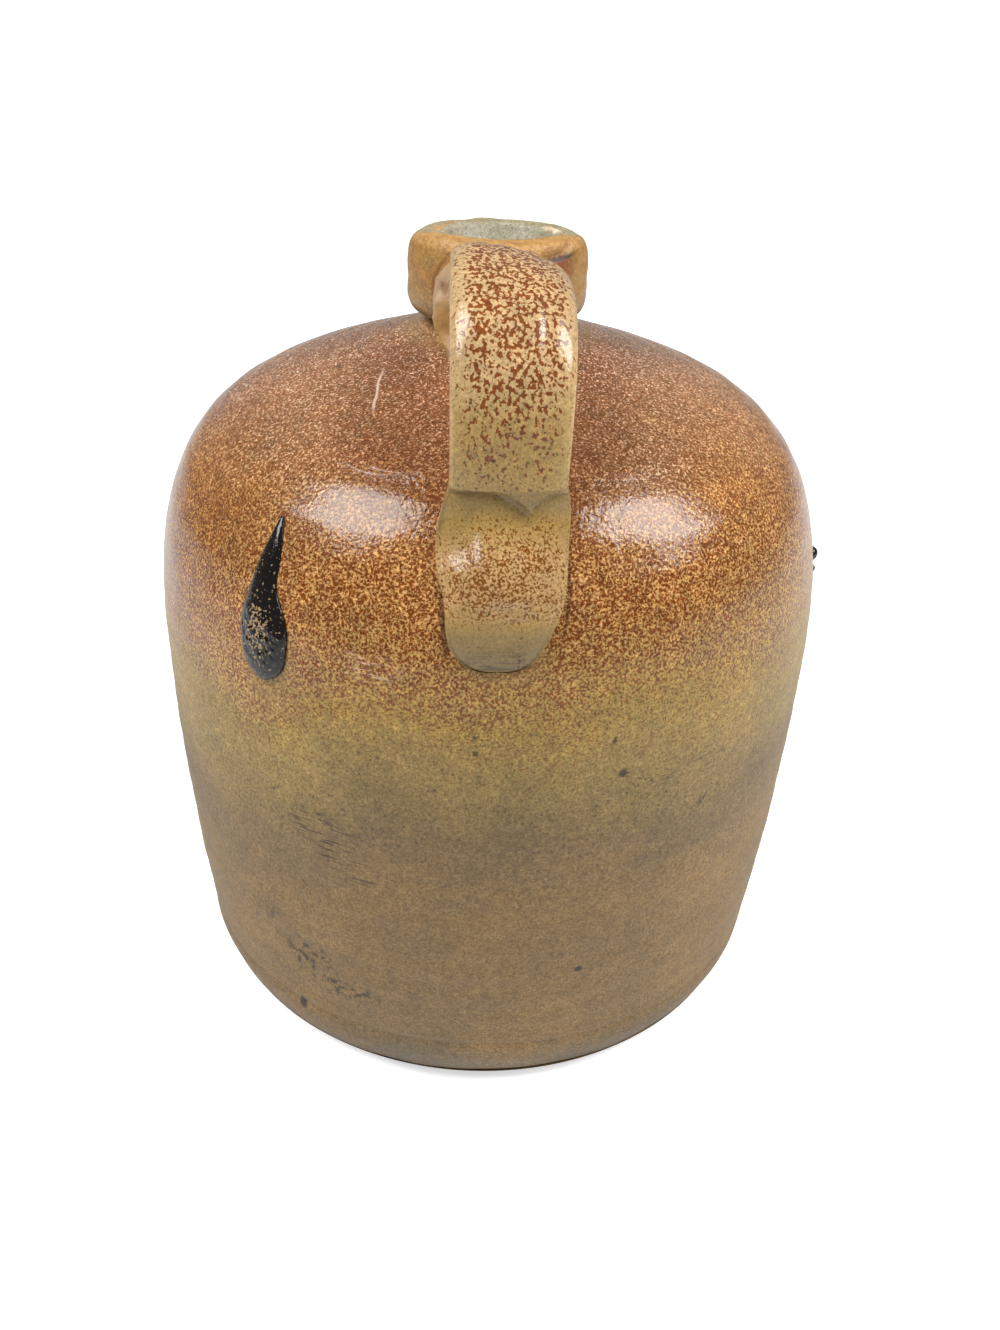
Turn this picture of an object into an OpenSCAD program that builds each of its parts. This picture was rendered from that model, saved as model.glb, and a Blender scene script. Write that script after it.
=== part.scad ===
// A one-gallon salt-glazed stoneware jug with a strap handle, in the pieces of clay that its
// maker luted together before firing. Millimetres, +Z up, origin at the middle of the flat
// foot, handle towards -Y.

/* [Body] */
// Largest outside radius of the body
body_radius = 94; // [80:1:110]
// Height of the widest ring, where the lower wall and the dome are joined
widest_height = 111; // [95:1:130]
// How much smaller the radius of the flat underside is than the body's
foot_inset = 15.5; // [10:0.5:20]
// Height at which the rounded foot runs into the wall
foot_height = 20; // [14:1:26]
// How much smaller the radius is where the rounded foot runs into the wall
heel_inset = 4.7; // [2:0.1:8]
// How late the wall swells to its widest: 1 is a straight cone
wall_swell = 2.1; // [1.5:0.1:3]
// Thickness of the thrown wall and dome
wall = 7; // [5:0.5:9]
// Thickness of the floor
floor_thickness = 9; // [7:0.5:12]
// Height of the ledge round the floor on which the wall is luted
floor_ledge = 4.5; // [3:0.5:6]
// Depth of the V joint between the wall and the dome
groove_depth = 3; // [1:0.5:5]
// Thickness of the slip glaze that lines the inside
lining = 0.5; // [0.3:0.1:1]

/* [Dome] */
// Height of the dome above the widest ring
dome_rise = 85; // [70:1:100]
// Slope of the dome where it meets the neck, in degrees
dome_slope = 23.5; // [15:0.5:30]
// Share of the dome's height over which the shoulder keeps rising steeply
shoulder_rise_share = 0.87; // [0.7:0.01:0.95]
// Share of the dome's breadth over which the straight slope runs out from the neck
shoulder_run_share = 0.6; // [0.4:0.01:0.75]

/* [Neck and collar] */
// Radius of the pouring bore
bore_radius = 12.5; // [10:0.5:15]
// Thickness of the neck's wall
neck_wall = 5; // [4:0.5:7]
// How far the dome's upper end stands out from the neck
neck_flare = 3; // [2:0.5:5]
// How much of the neck shows under the collar
neck_show = 1.2; // [0.5:0.1:4]
// Thickness of the collar band
collar_thickness = 6; // [5:0.5:9]
// Height of the collar band
collar_height = 19.5; // [16:0.5:24]
// How far the collar's top corner is rounded, across
collar_top_round = 3; // [1.5:0.5:4]
// How far the collar's top corner is rounded, down
collar_top_fall = 6.5; // [3:0.5:8]
// How far the collar's bottom corner is rounded, across
collar_foot_round = 3.5; // [1:0.5:4]
// How far the collar's bottom corner is rounded, up
collar_foot_rise = 5; // [2:0.5:7]
// How far the mouth opens out above the bore, across
mouth_flare = 2.7; // [1:0.1:3.5]
// How far down the mouth's flare starts
mouth_fall = 5.5; // [2:0.5:8]

/* [Handle] */
// Width of the strap over its arch
strap_width = 27.5; // [20:0.5:30]
// Thickness of the strap
strap_thickness = 9; // [7:0.5:11]
// How square the strap's section is at its crease: 2 is an ellipse
strap_squareness = 2.8; // [2:0.1:4]
// How square it is over the arch
arch_squareness = 2.2; // [2:0.1:4]
// How far the strap's top stands above the rim
handle_rise = 5; // [2:0.5:12]
// How far out from the collar the strap is at its highest
arch_run = 19.5; // [14:0.5:26]
// How far inside the body's widest ring the strap's middle line ends
crease_inset = 18; // [15:0.5:21]
// Share of the dome's height at which the strap ends in a crease above its pad
crease_share = 0.82; // [0.74:0.01:0.86]
// How far below the rim the strap's middle line starts, inside the collar
root_drop = 13; // [9:0.5:15]
// How far the strap leans to the right over its arch, in degrees
arch_lean = 11; // [0:1:15]
// How far the arch sits to the right of the pad
arch_shift = 0.7; // [0:0.1:2]
// Width of the pressed pad
pad_width = 29.5; // [24:0.5:34]
// How square the pad's outline is: 2 is an ellipse
pad_squareness = 2.3; // [2:0.1:3]
// Thickness of the pressed pad, half of it inside the body's outline before it is trimmed
pad_thickness = 10; // [8:0.5:13]
// Share of the dome's height at which the pad's lower tip lies
pad_end_share = 0.36; // [0.25:0.01:0.5]
// How far the wad of clay under the strap's root shows to the left of it
wad_left_margin = 6; // [3:0.1:8]
// How far it shows to the right
wad_right_margin = 2.8; // [2.5:0.1:6]
// How far the wad of clay reaches out from the collar
wad_spread = 4; // [2.5:0.5:10]
// Thickness of the wad's skin on the collar's side
wad_skin = 2; // [1:0.5:4]
// How far below the rim the skin's upper edge lies on the collar's side
wad_drop = 8; // [6:0.5:10]

/* [Kiln drips] */
// Share of the dome's height at which the long drip starts
drip_top_share = 0.65; // [0.55:0.01:0.72]
// Share of the dome's height at which the long drip ends
drip_end_share = 0.21; // [0.1:0.01:0.32]
// Direction of the long drip round the jug, in degrees from the handle
drip_direction = -38; // [-70:1:-25]
// Width of the long drip's bulb
drip_width = 12.5; // [8:0.5:18]
// How far the long drip's bulb stands proud
drip_depth = 2.6; // [1.5:0.1:4]
// Direction of the side drops round the jug, in degrees from the handle
drop_direction = 78; // [50:1:110]
// Share of the dome's height at which the upper side drop lies
drop_share = 0.31; // [0.25:0.01:0.55]
// Radius of the upper side drop
drop_radius = 2.4; // [1.5:0.1:4]

/* [Hidden] */
// Steps in each curve of an outline
foot_steps = 10;
wall_steps = 14;
dome_steps = 28;
corner_steps = 8;
// Rings along a swept piece, and points round each ring
strap_rings = 44;
pad_rings = 30;
drip_rings = 26;
ring_points = 28;
drip_points = 16;
// How far a cutting body runs past what it cuts
overrun = 1;
round_fn = 180;

// Shares of the strap's width over its arch that are left at its crease and at its root
crease_width_share = 0.945;
root_width_share = 0.73;

// Places worked out from the driving sizes
quarter_turn = 90;
foot_radius = body_radius - foot_inset;
heel_radius = body_radius - heel_inset;
floor_inner_radius = outer_radius(floor_thickness) - wall;
neck_radius = bore_radius + neck_wall;
collar_radius = neck_radius + collar_thickness;
dome_height = widest_height + dome_rise;
dome_end_radius = neck_radius + neck_flare;
dome_fall = tan(dome_slope);
shoulder_rise = shoulder_rise_share * dome_rise;
shoulder_run = shoulder_run_share * (body_radius - dome_end_radius);
neck_seat_height = dome_height + neck_flare * dome_fall;
neck_bottom = neck_seat_height - wall / cos(dome_slope);
collar_bottom = neck_seat_height + neck_show;
rim_height = collar_bottom + collar_height;
handle_top_height = rim_height + handle_rise - strap_thickness / 2;
handle_top_reach = collar_radius + arch_run;
handle_end_reach = body_radius - crease_inset;
crease_height = widest_height + crease_share * dome_rise;
crease_width = crease_width_share * strap_width;
root_width = root_width_share * strap_width;
root_height = rim_height - root_drop;
pad_end_height = widest_height + pad_end_share * dome_rise;
wad_reach = collar_radius + wad_spread;
wad_top_height = rim_height - wad_drop;
wad_left = asin((root_width / 2 + wad_left_margin) / (collar_radius + wad_skin));
wad_right = asin((root_width / 2 + wad_right_margin) / (collar_radius + wad_skin));
drip_top_height = widest_height + drip_top_share * dome_rise;
drip_end_height = widest_height + drip_end_share * dome_rise;
drop_height = widest_height + drop_share * dome_rise;
drop_gap = 1.9 * drop_radius;
// The pad is widest at this share of its length, and the drip at that one
pad_widest_share = 0.3;
drip_widest_share = 0.8;
drop_shrink_share = 0.5;
// Share of each side drop's radius by which its middle is sunk in the wall
drop_sunk_share = 0.45;

// Outside radius of the foot and wall at a height up to the widest ring
function outer_radius(z) = z < foot_height
    ? foot_radius + (heel_radius - foot_radius) * sqrt(1 - pow(1 - z / foot_height, 2))
    : body_radius - (body_radius - heel_radius)
        * pow(max(0, widest_height - z) / (widest_height - foot_height), wall_swell);

// Points [radius, height] of the rounded foot and wall, from one height up to another
function foot_points(from) = let (start = acos(1 - from / foot_height))
    [for (i = [0 : foot_steps]) let (a = start + (quarter_turn - start) * i / foot_steps)
        [foot_radius + (heel_radius - foot_radius) * sin(a), foot_height * (1 - cos(a))]];
function wall_points() = [for (i = [1 : wall_steps])
    let (z = foot_height + (widest_height - foot_height) * i / wall_steps)
        [outer_radius(z), z]];

// A point of a cubic curve through four guide points
function curve(p, t) = pow(1 - t, 3) * p[0] + 3 * pow(1 - t, 2) * t * p[1]
    + 3 * (1 - t) * t * t * p[2] + t * t * t * p[3];
function curve_slope(p, t) = 3 * pow(1 - t, 2) * (p[1] - p[0])
    + 6 * (1 - t) * t * (p[2] - p[1]) + 3 * t * t * (p[3] - p[2]);

dome_guides = [[body_radius, widest_height],
               [body_radius, widest_height + shoulder_rise],
               [dome_end_radius + shoulder_run * cos(dome_slope),
                dome_height - shoulder_run * sin(dome_slope)],
               [dome_end_radius, dome_height]];

// Points of the dome's outline, moved inwards by a depth along its own normal
function dome_points(depth) = [for (i = [0 : dome_steps])
    let (t = i / dome_steps, d = curve_slope(dome_guides, t))
        curve(dome_guides, t) + depth * [-d[1], d[0]] / norm(d)];
function reversed(list) = [for (i = [len(list) - 1 : -1 : 0]) list[i]];

// Heights of the dome's own slope carried on inwards to a radius
function dome_carried(radius, depth) =
    dome_height + (dome_end_radius - radius) * dome_fall - depth / cos(dome_slope);

// Points of the inside face of the wall, moved inwards by a depth, from the top down
function inside_wall_points(depth, low) = [for (i = [0 : wall_steps])
    let (z = widest_height + (low - widest_height) * i / wall_steps)
        [outer_radius(z) - wall - depth, z]];

// Radius of the body at any height, for pieces that lie on it
function dome_parameter(z, low = 0, high = 1, turns = 18) = let (mid = (low + high) / 2)
    turns == 0 ? mid
    : curve(dome_guides, mid)[1] < z ? dome_parameter(z, mid, high, turns - 1)
    : dome_parameter(z, low, mid, turns - 1);
function body_radius_at(z) = z <= widest_height ? outer_radius(z)
    : curve(dome_guides, dome_parameter(z))[0];

// The whole outside shape of the body, filled in
module body_outline() {
    rotate_extrude($fn = round_fn)
        polygon(concat([[0, 0]], foot_points(0), wall_points(), dome_points(0),
                       [[neck_radius, neck_seat_height], [0, neck_seat_height]]));
}

// A corner of a band's outline, as a quarter of an ellipse between two directions
function corner(middle, across, along, from, to) = [for (i = [0 : corner_steps])
    let (a = from + (to - from) * i / corner_steps)
        middle + [across * cos(a), along * sin(a)]];

function collar_outer_points() = concat(
    corner([collar_radius - collar_top_round, rim_height - collar_top_fall],
           collar_top_round, collar_top_fall, quarter_turn, 0),
    corner([collar_radius - collar_foot_round, collar_bottom + collar_foot_rise],
           collar_foot_round, collar_foot_rise, 0, -quarter_turn));

// Joins rings of points, each [x, y, z], into one closed skin of triangles
module swept(rings) {
    n = len(rings[0]);
    last = len(rings) - 1;
    points = [for (ring = rings) each ring];
    sides = [for (i = [0 : last - 1], j = [0 : n - 1]) let (k = (j + 1) % n)
        each [[i * n + j, (i + 1) * n + k, i * n + k],
              [i * n + j, (i + 1) * n + j, (i + 1) * n + k]]];
    start = [for (j = [1 : n - 2]) [0, j, j + 1]];
    end = [for (j = [1 : n - 2]) [last * n, last * n + j + 1, last * n + j]];
    polyhedron(points = points, faces = concat(sides, start, end));
}

// One ring round a middle line in the handle's plane: place and slope are [reach, height], and
// the ring leans to the right by an angle about the middle line
function strap_ring(place, slope, width, thickness, lean, shift, squareness) =
    let (out = [-slope[1], slope[0]] / norm(slope))
    [for (j = [0 : ring_points - 1]) let (a = 360 * j / ring_points,
        x = sign(cos(a)) * pow(abs(cos(a)), 2 / squareness) * width / 2,
        y = sign(sin(a)) * pow(abs(sin(a)), 2 / squareness) * thickness / 2,
        side = x * cos(lean) + y * sin(lean) + shift,
        n = y * cos(lean) - x * sin(lean))
        [side, -(place[0] + n * out[0]), place[1] + n * out[1]]];

root_guides = [[collar_radius - strap_thickness, root_height],
               [collar_radius + strap_thickness / 4, (root_height + handle_top_height) / 2],
               [(collar_radius + handle_top_reach) / 2, handle_top_height],
               [handle_top_reach, handle_top_height]];
drop_guides = [[handle_top_reach, handle_top_height],
               [handle_end_reach - strap_thickness, handle_top_height],
               [handle_end_reach + strap_thickness / 6,
                (handle_top_height + 2 * crease_height) / 3 + strap_width / 2],
               [handle_end_reach, crease_height]];
pad_start_slope = curve_slope(drop_guides, 1);
pad_end_reach = body_radius_at(pad_end_height);
pad_guides = [[handle_end_reach, crease_height],
              [handle_end_reach, crease_height] + pad_start_slope / norm(pad_start_slope)
                  * (crease_height - pad_end_height) / 3,
              [body_radius_at((2 * pad_end_height + crease_height) / 3) + pad_thickness / 8,
               (2 * pad_end_height + crease_height) / 3 + pad_thickness / 8],
              [pad_end_reach, pad_end_height]];

module floor_slab() {
    color("#8d7257")
    rotate_extrude($fn = round_fn)
        polygon(concat([[0, 0]],
            [for (p = foot_points(0)) if (p[1] < floor_ledge) p],
            [[outer_radius(floor_ledge), floor_ledge], [floor_inner_radius, floor_ledge],
             [floor_inner_radius, floor_thickness], [0, floor_thickness]]));
}

module lower_wall() {
    color("#a58a66")
    rotate_extrude($fn = round_fn)
        polygon(concat(foot_points(floor_ledge), wall_points(),
            [[body_radius - wall / 4, widest_height],
             [body_radius - wall / 2, widest_height - groove_depth],
             [body_radius - 3 * wall / 4, widest_height]],
            inside_wall_points(0, floor_thickness),
            [[floor_inner_radius, floor_ledge]]));
}

module shoulder_dome() {
    color("#9a5a36")
    difference() {
        rotate_extrude($fn = round_fn)
            polygon(concat(dome_points(0),
                [[bore_radius, dome_carried(bore_radius, 0)],
                 [bore_radius, dome_carried(bore_radius, wall)]],
                reversed(dome_points(wall)),
                [[body_radius - 3 * wall / 4, widest_height],
                 [body_radius - wall / 2, widest_height - groove_depth],
                 [body_radius - wall / 4, widest_height]]));
        translate([0, 0, widest_height])
            cylinder(r = neck_radius, h = rim_height, $fn = round_fn);
    }
}

module neck() {
    color("#b79a78")
    difference() {
        translate([0, 0, neck_bottom])
            cylinder(r = neck_radius, h = rim_height - neck_bottom, $fn = round_fn);
        translate([0, 0, neck_bottom - overrun])
            cylinder(r = bore_radius, h = rim_height - neck_bottom + 2 * overrun, $fn = round_fn);
        translate([0, 0, rim_height - mouth_fall])
            cylinder(r1 = bore_radius, r2 = bore_radius + mouth_flare, h = mouth_fall,
                     $fn = round_fn);
    }
}

module collar() {
    color("#b98d5c")
    rotate_extrude($fn = round_fn)
        polygon(concat([[neck_radius, rim_height]], collar_outer_points(),
                       [[neck_radius, collar_bottom]]));
}

// The space that the collar and all inside it take up
module collar_outline() {
    rotate_extrude($fn = round_fn)
        polygon(concat([[0, rim_height + overrun],
                        [collar_radius - collar_top_round, rim_height + overrun]],
                       collar_outer_points(),
                       [[neck_radius, collar_bottom], [neck_radius, neck_bottom], [0, neck_bottom]]));
}

module strap_form() {
    steps = strap_rings / 2;
    swept(concat(
        [for (i = [0 : steps - 1]) let (t = i / steps)
            strap_ring(curve(root_guides, t), curve_slope(root_guides, t),
                       root_width + (strap_width - root_width) * sin(quarter_turn * t),
                       strap_thickness, arch_lean, arch_shift, arch_squareness)],
        [for (i = [0 : steps]) let (t = i / steps)
            strap_ring(curve(drop_guides, t), curve_slope(drop_guides, t),
                       strap_width + (crease_width - strap_width) * t * t, strap_thickness,
                       arch_lean * (1 - t) * (1 - t), arch_shift * (1 - t * t),
                       arch_squareness + (strap_squareness - arch_squareness) * t)]));
}

module handle_strap() {
    color("#b59d6b")
    difference() {
        strap_form();
        collar_outline();
    }
}

// Outline of the wad of clay, [radius, height]: a hollow slope up from the dome to the collar,
// then a thin skin up the collar's side
function wad_points() = let (low = dome_carried(wad_reach, 0), skin = collar_radius + wad_skin)
    concat([[neck_radius, low - wall], [wad_reach, low - wall], [wad_reach, low]],
        [for (i = [1 : corner_steps]) let (a = quarter_turn * i / corner_steps)
            [wad_reach - (wad_reach - skin) * sin(a),
             low + (root_height - low) * (1 - cos(a))]],
        [[collar_radius, wad_top_height], [neck_radius, wad_top_height]]);

// A wad of clay packed under the strap, against the collar and down on to the dome
module handle_root() {
    color("#a9835a")
    difference() {
        rotate([0, 0, -quarter_turn - wad_left])
            rotate_extrude(angle = wad_left + wad_right, $fn = round_fn)
                polygon(wad_points());
        collar_outline();
        body_outline();
        strap_form();
    }
}

// The strap's lower end, thumbed down on to the shoulder under a crease
module handle_terminal() {
    color("#b09463")
    difference() {
        swept([for (i = [0 : pad_rings]) let (t = i / pad_rings,
            past = max(0, (t - pad_widest_share) / (1 - pad_widest_share)),
            short = min(1, t / pad_widest_share),
            shrink = pow(max(0, 1 - pow(past, pad_squareness)), 1 / pad_squareness),
            width = (crease_width + (pad_width - crease_width) * sin(quarter_turn * short)) * shrink,
            thickness = (strap_thickness + (pad_thickness - strap_thickness) * short)
                * sqrt(shrink))
            strap_ring(curve(pad_guides, t), curve_slope(pad_guides, t),
                       max(width, lining), max(thickness, lining), 0, 0, strap_squareness)]);
        body_outline();
    }
}

// A ring of a drip that lies on the body, at a height and with a width and depth of its own
function drip_ring(z, width, depth) = let (r = body_radius_at(z),
        rise = atan2(body_radius_at(z - overrun) - body_radius_at(z + overrun), 2 * overrun))
    [for (j = [0 : drip_points - 1]) let (a = 360 * j / drip_points)
        [width / 2 * cos(a), -(r + depth * sin(a) * cos(rise)), z + depth * sin(a) * sin(rise)]];

module kiln_drip_long() {
    color("#1b1d1c")
    rotate([0, 0, drip_direction])
    difference() {
        swept([for (i = [0 : drip_rings]) let (t = i / drip_rings,
            z = drip_top_height + (drip_end_height - drip_top_height) * t,
            swell = t < drip_widest_share
                ? pow(t / drip_widest_share, 1.2)
                : sqrt(max(0, 1 - pow((t - drip_widest_share) / (1 - drip_widest_share), 2))))
            drip_ring(z, max(drip_width * swell, lining), max(drip_depth * swell, lining))]);
        body_outline();
    }
}

// Two small glassy drops, one under the other
module kiln_drops_side() {
    color("#1b1d1c")
    rotate([0, 0, drop_direction])
    difference() {
        union() {
            side_drop(drop_height, drop_radius);
            side_drop(drop_height - drop_gap, drop_radius * drop_shrink_share);
        }
        body_outline();
    }
}

module side_drop(z, radius) {
    translate([0, radius * drop_sunk_share - body_radius_at(z), z])
        sphere(r = radius, $fn = 48);
}

// The slip glaze on the floor, up the wall and under the dome
module slip_lining() {
    color("#6e6a55")
    difference() {
        rotate_extrude($fn = round_fn)
            polygon(concat([[0, floor_thickness]],
                reversed(inside_wall_points(0, floor_thickness)),
                dome_points(wall),
                [[bore_radius, dome_carried(bore_radius, wall)],
                 [bore_radius, dome_carried(bore_radius, wall + lining)]],
                reversed(dome_points(wall + lining)),
                inside_wall_points(lining, floor_thickness + lining),
                [[0, floor_thickness + lining]]));
        translate([0, 0, widest_height])
            cylinder(r = neck_radius, h = rim_height, $fn = round_fn);
    }
}

floor_slab();
lower_wall();
shoulder_dome();
neck();
collar();
handle_root();
handle_strap();
handle_terminal();
kiln_drip_long();
kiln_drops_side();
slip_lining();
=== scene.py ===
"""Looks of a one-gallon salt-glazed stoneware jug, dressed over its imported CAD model.

Laid out as a Blender add-on: sizes, colours and stage settings are properties, each piece of clay
or glass is one operator, and main() runs them all in order.
"""

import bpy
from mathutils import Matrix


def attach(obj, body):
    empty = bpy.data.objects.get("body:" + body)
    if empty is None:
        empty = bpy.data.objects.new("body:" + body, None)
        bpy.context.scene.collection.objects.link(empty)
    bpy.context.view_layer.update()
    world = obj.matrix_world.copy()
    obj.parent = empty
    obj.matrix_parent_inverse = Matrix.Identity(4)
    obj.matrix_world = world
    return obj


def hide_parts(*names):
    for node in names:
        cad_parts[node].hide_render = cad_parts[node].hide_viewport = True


bl_info = {
    "name": "Salt-glazed stoneware jug",
    "version": (1, 0, 0),
    "blender": (4, 5, 0),
    "location": "View3D > Sidebar > Stoneware",
    "description": "Builds the pieces of a hand-thrown stoneware jug, its glazes and its stage",
    "category": "Object",
}

from functools import cache, partial
from types import SimpleNamespace

import bpy
import numpy as np
from mathutils import Matrix

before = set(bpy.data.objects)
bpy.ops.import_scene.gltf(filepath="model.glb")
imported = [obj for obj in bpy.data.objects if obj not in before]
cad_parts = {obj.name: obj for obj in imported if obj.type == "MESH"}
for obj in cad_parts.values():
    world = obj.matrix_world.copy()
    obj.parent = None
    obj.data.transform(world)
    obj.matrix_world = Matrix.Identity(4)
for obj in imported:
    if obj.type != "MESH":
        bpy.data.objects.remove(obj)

MM = 0.001
TURN = 2 * np.pi
DEG = np.pi / 180
# The photograph's height and the camera's focal length in pixels, and a full frame's height in mm.
PHOTO_HEIGHT, FOCAL_LENGTH, FRAME_HEIGHT = 1330, 1200, 36
# Points round one ring of each thrown, rolled, pulled or run piece.
COLUMNS = {"body": 576, "collar": 480, "floor": 360, "neck": 320, "strap": 144, "drip": 96,
           "drop": 48}
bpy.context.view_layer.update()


# Properties

def length(name, mm, description):
    """A length property, given in millimetres and kept in metres."""
    return bpy.props.FloatProperty(name=name, description=description, default=mm * MM,
                                   min=0, precision=4, unit="LENGTH")


def angle(name, degrees, description):
    """An angle property, given in degrees."""
    return bpy.props.FloatProperty(name=name, description=description, default=degrees * DEG,
                                   subtype="ANGLE", unit="ROTATION")


def share(name, value, description, most=1.0):
    """A plain number, such as a share of another size."""
    return bpy.props.FloatProperty(name=name, description=description, default=value,
                                   min=0, max=most, subtype="FACTOR" if most == 1.0 else "NONE")


def linear(hex_colour):
    """The linear RGB of an sRGB hex colour: a cut-off straight part, then a 2.4 power."""
    channels = np.array([int(hex_colour[i:i + 2], 16) for i in (1, 3, 5)]) / 255
    return tuple(np.where(channels <= 0.04045, channels / 12.92,
                          ((channels + 0.055) / 1.055) ** 2.4))


def colour(name, hex_colour, description):
    """A colour property, given as an sRGB hex value and kept linear."""
    return bpy.props.FloatVectorProperty(name=name, description=description, subtype="COLOR",
                                         size=3, min=0, max=1, default=linear(hex_colour))


class JugSizes(bpy.types.PropertyGroup):
    """Driving sizes of the jug, as in its construction source."""

    body_radius: length("Body radius", 94, "Largest outside radius of the body")
    widest_height: length("Widest height", 111, "Height of the ring where wall and dome join")
    foot_inset: length("Foot inset", 15.5, "How much smaller the flat underside's radius is")
    foot_height: length("Foot height", 20, "Height at which the rounded foot meets the wall")
    heel_inset: length("Heel inset", 4.7, "How much smaller the radius is above the foot")
    wall_swell: share("Wall swell", 2.1, "How late the wall swells to its widest", 4)
    wall: length("Wall", 7, "Thickness of the thrown wall and dome")
    floor_thickness: length("Floor thickness", 9, "Thickness of the floor")
    floor_ledge: length("Floor ledge", 4.5, "Height of the ledge that the wall stands on")
    groove_depth: length("Groove depth", 3, "Depth of the V joint between wall and dome")
    dome_rise: length("Dome rise", 85, "Height of the dome above the widest ring")
    dome_slope: angle("Dome slope", 23.5, "Slope of the dome where it meets the neck")
    shoulder_rise_share: share("Shoulder rise", 0.87, "Share of the dome that rises steeply")
    shoulder_run_share: share("Shoulder run", 0.6, "Share of the dome's breadth that runs out")
    bore_radius: length("Bore radius", 12.5, "Radius of the pouring bore")
    neck_wall: length("Neck wall", 5, "Thickness of the neck's wall")
    neck_flare: length("Neck flare", 3, "How far the dome's end stands out from the neck")
    neck_show: length("Neck show", 1.2, "How much of the neck shows under the collar")
    collar_thickness: length("Collar thickness", 6, "Thickness of the collar band")
    collar_height: length("Collar height", 19.5, "Height of the collar band")
    collar_top_round: length("Collar top round", 3, "Rounding of the top corner, across")
    collar_top_fall: length("Collar top fall", 6.5, "Rounding of the top corner, down")
    collar_foot_round: length("Collar foot round", 3.5, "Rounding of the bottom corner, across")
    collar_foot_rise: length("Collar foot rise", 5, "Rounding of the bottom corner, up")
    mouth_flare: length("Mouth flare", 2.7, "How far the mouth opens out above the bore")
    mouth_fall: length("Mouth fall", 5.5, "How far down the mouth's flare starts")
    strap_width: length("Strap width", 27.5, "Width of the strap over its arch")
    strap_thickness: length("Strap thickness", 9, "Thickness of the strap")
    strap_squareness: share("Strap squareness", 2.8, "Squareness of its section at the crease", 6)
    arch_squareness: share("Arch squareness", 2.2, "Squareness of its section over the arch", 6)
    handle_rise: length("Handle rise", 5, "How far the strap's top stands above the rim")
    arch_run: length("Arch run", 19.5, "How far out from the collar the strap is highest")
    crease_inset: length("Crease inset", 18, "How far inside the widest ring the strap ends")
    crease_share: share("Crease height", 0.82, "Share of the dome at which the strap ends")
    root_drop: length("Root drop", 13, "How far below the rim the strap starts")
    arch_lean: angle("Arch lean", 11, "How far the strap leans to the right over its arch")
    arch_shift: length("Arch shift", 0.7, "How far the arch sits to the right of the pad")
    pad_width: length("Pad width", 29.5, "Width of the pressed pad")
    pad_squareness: share("Pad squareness", 2.3, "Squareness of the pad's outline", 6)
    pad_thickness: length("Pad thickness", 10, "Thickness of the pressed pad")
    pad_end_share: share("Pad end", 0.36, "Share of the dome at which the pad's tip lies")
    drip_top_share: share("Drip top", 0.65, "Share of the dome at which the long drip starts")
    drip_end_share: share("Drip end", 0.21, "Share of the dome at which the long drip ends")
    drip_direction: angle("Drip direction", -38, "Direction of the long drip from the handle")
    drip_width: length("Drip width", 12.5, "Width of the long drip's bulb")
    drip_depth: length("Drip depth", 2.6, "How far the long drip's bulb stands proud")
    drop_direction: angle("Drop direction", 78, "Direction of the side drops from the handle")
    drop_share: share("Drop height", 0.31, "Share of the dome at which the upper drop lies")
    drop_radius: length("Drop radius", 2.4, "Radius of the upper side drop")


class JugColours(bpy.types.PropertyGroup):
    """Colours of the fired clay, the salt glaze and the ash glass."""

    foot_clay: colour("Foot clay", "#71624b", "Bare clay of the foot's rim and the underside")
    wall_clay: colour("Wall clay", "#8a6e43", "Thinly glazed clay of the lower wall")
    grey_band: colour("Grey band", "#806843", "Smoked band round the middle of the wall")
    ochre: colour("Ochre", "#9c834b", "Ochre glaze above the smoked band")
    tan: colour("Tan", "#a88b46", "Tan glaze where the shoulder starts")
    cream: colour("Cream", "#d6a769", "Pale filaments in the glaze of the shoulder")
    dome_cream: colour("Dome cream", "#fedcbf", "Pale flecks in the glaze of the dome")
    rust: colour("Rust", "#7b3e12", "Iron spots of the shoulder")
    # The dome's iron wash, made paler and bluer as painted sheen over the dome's top.
    dome_brown_and_sheen: colour("Dome brown", "#915d36", "Iron wash of the dome")
    speck: colour("Speck", "#2b2016", "Specks and pits of iron")
    olive: colour("Olive", "#b08f52", "Khaki ground of the strap's foot and the pad")
    strap_cream: colour("Strap cream", "#d0ad80", "Cream ground of the strap's arch")
    strap_brown: colour("Strap brown", "#834820", "Blotches on the strap")
    pad_tan: colour("Pad tan", "#c69f6d", "Ground of the pad's belly")
    pad_rust: colour("Pad rust", "#7f4b16", "Blotches on the pad's belly")
    # Also the painted shade just under the crease on the pad's top.
    wiped_grey_and_shade: colour("Wiped grey", "#897551", "Wiped end of the pad")
    collar_tan: colour("Collar tan", "#af813d", "Orange tan of the collar")
    collar_pink: colour("Collar pink", "#ac8e64", "Paler lower edge of the collar")
    collar_rub: colour("Collar rub", "#c99f64", "Rubbed edge of the lip")
    rim_green: colour("Rim green", "#a89c7a", "Grey-green flat of the rim")
    # Kept pale so that the shaded bore reads as lit: painted light over the grey-green glaze.
    bore_grey: colour("Bore grey", "#aca690", "Grey-green of the mouth and bore")
    ash_black: colour("Ash black", "#0b0705", "Black ash glass of the drips")
    ash_bloom: colour("Ash bloom", "#1a1a16", "Blue-grey bloom at the drip's thick end")
    ash_grain: colour("Ash grain", "#b7986d", "Grains stuck in the ash glass")
    slip_brown: colour("Slip brown", "#5d5342", "Brown slip that lines the inside")
    slip_dark: colour("Slip dark", "#3f372b", "Dark streaks in the slip")


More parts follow.
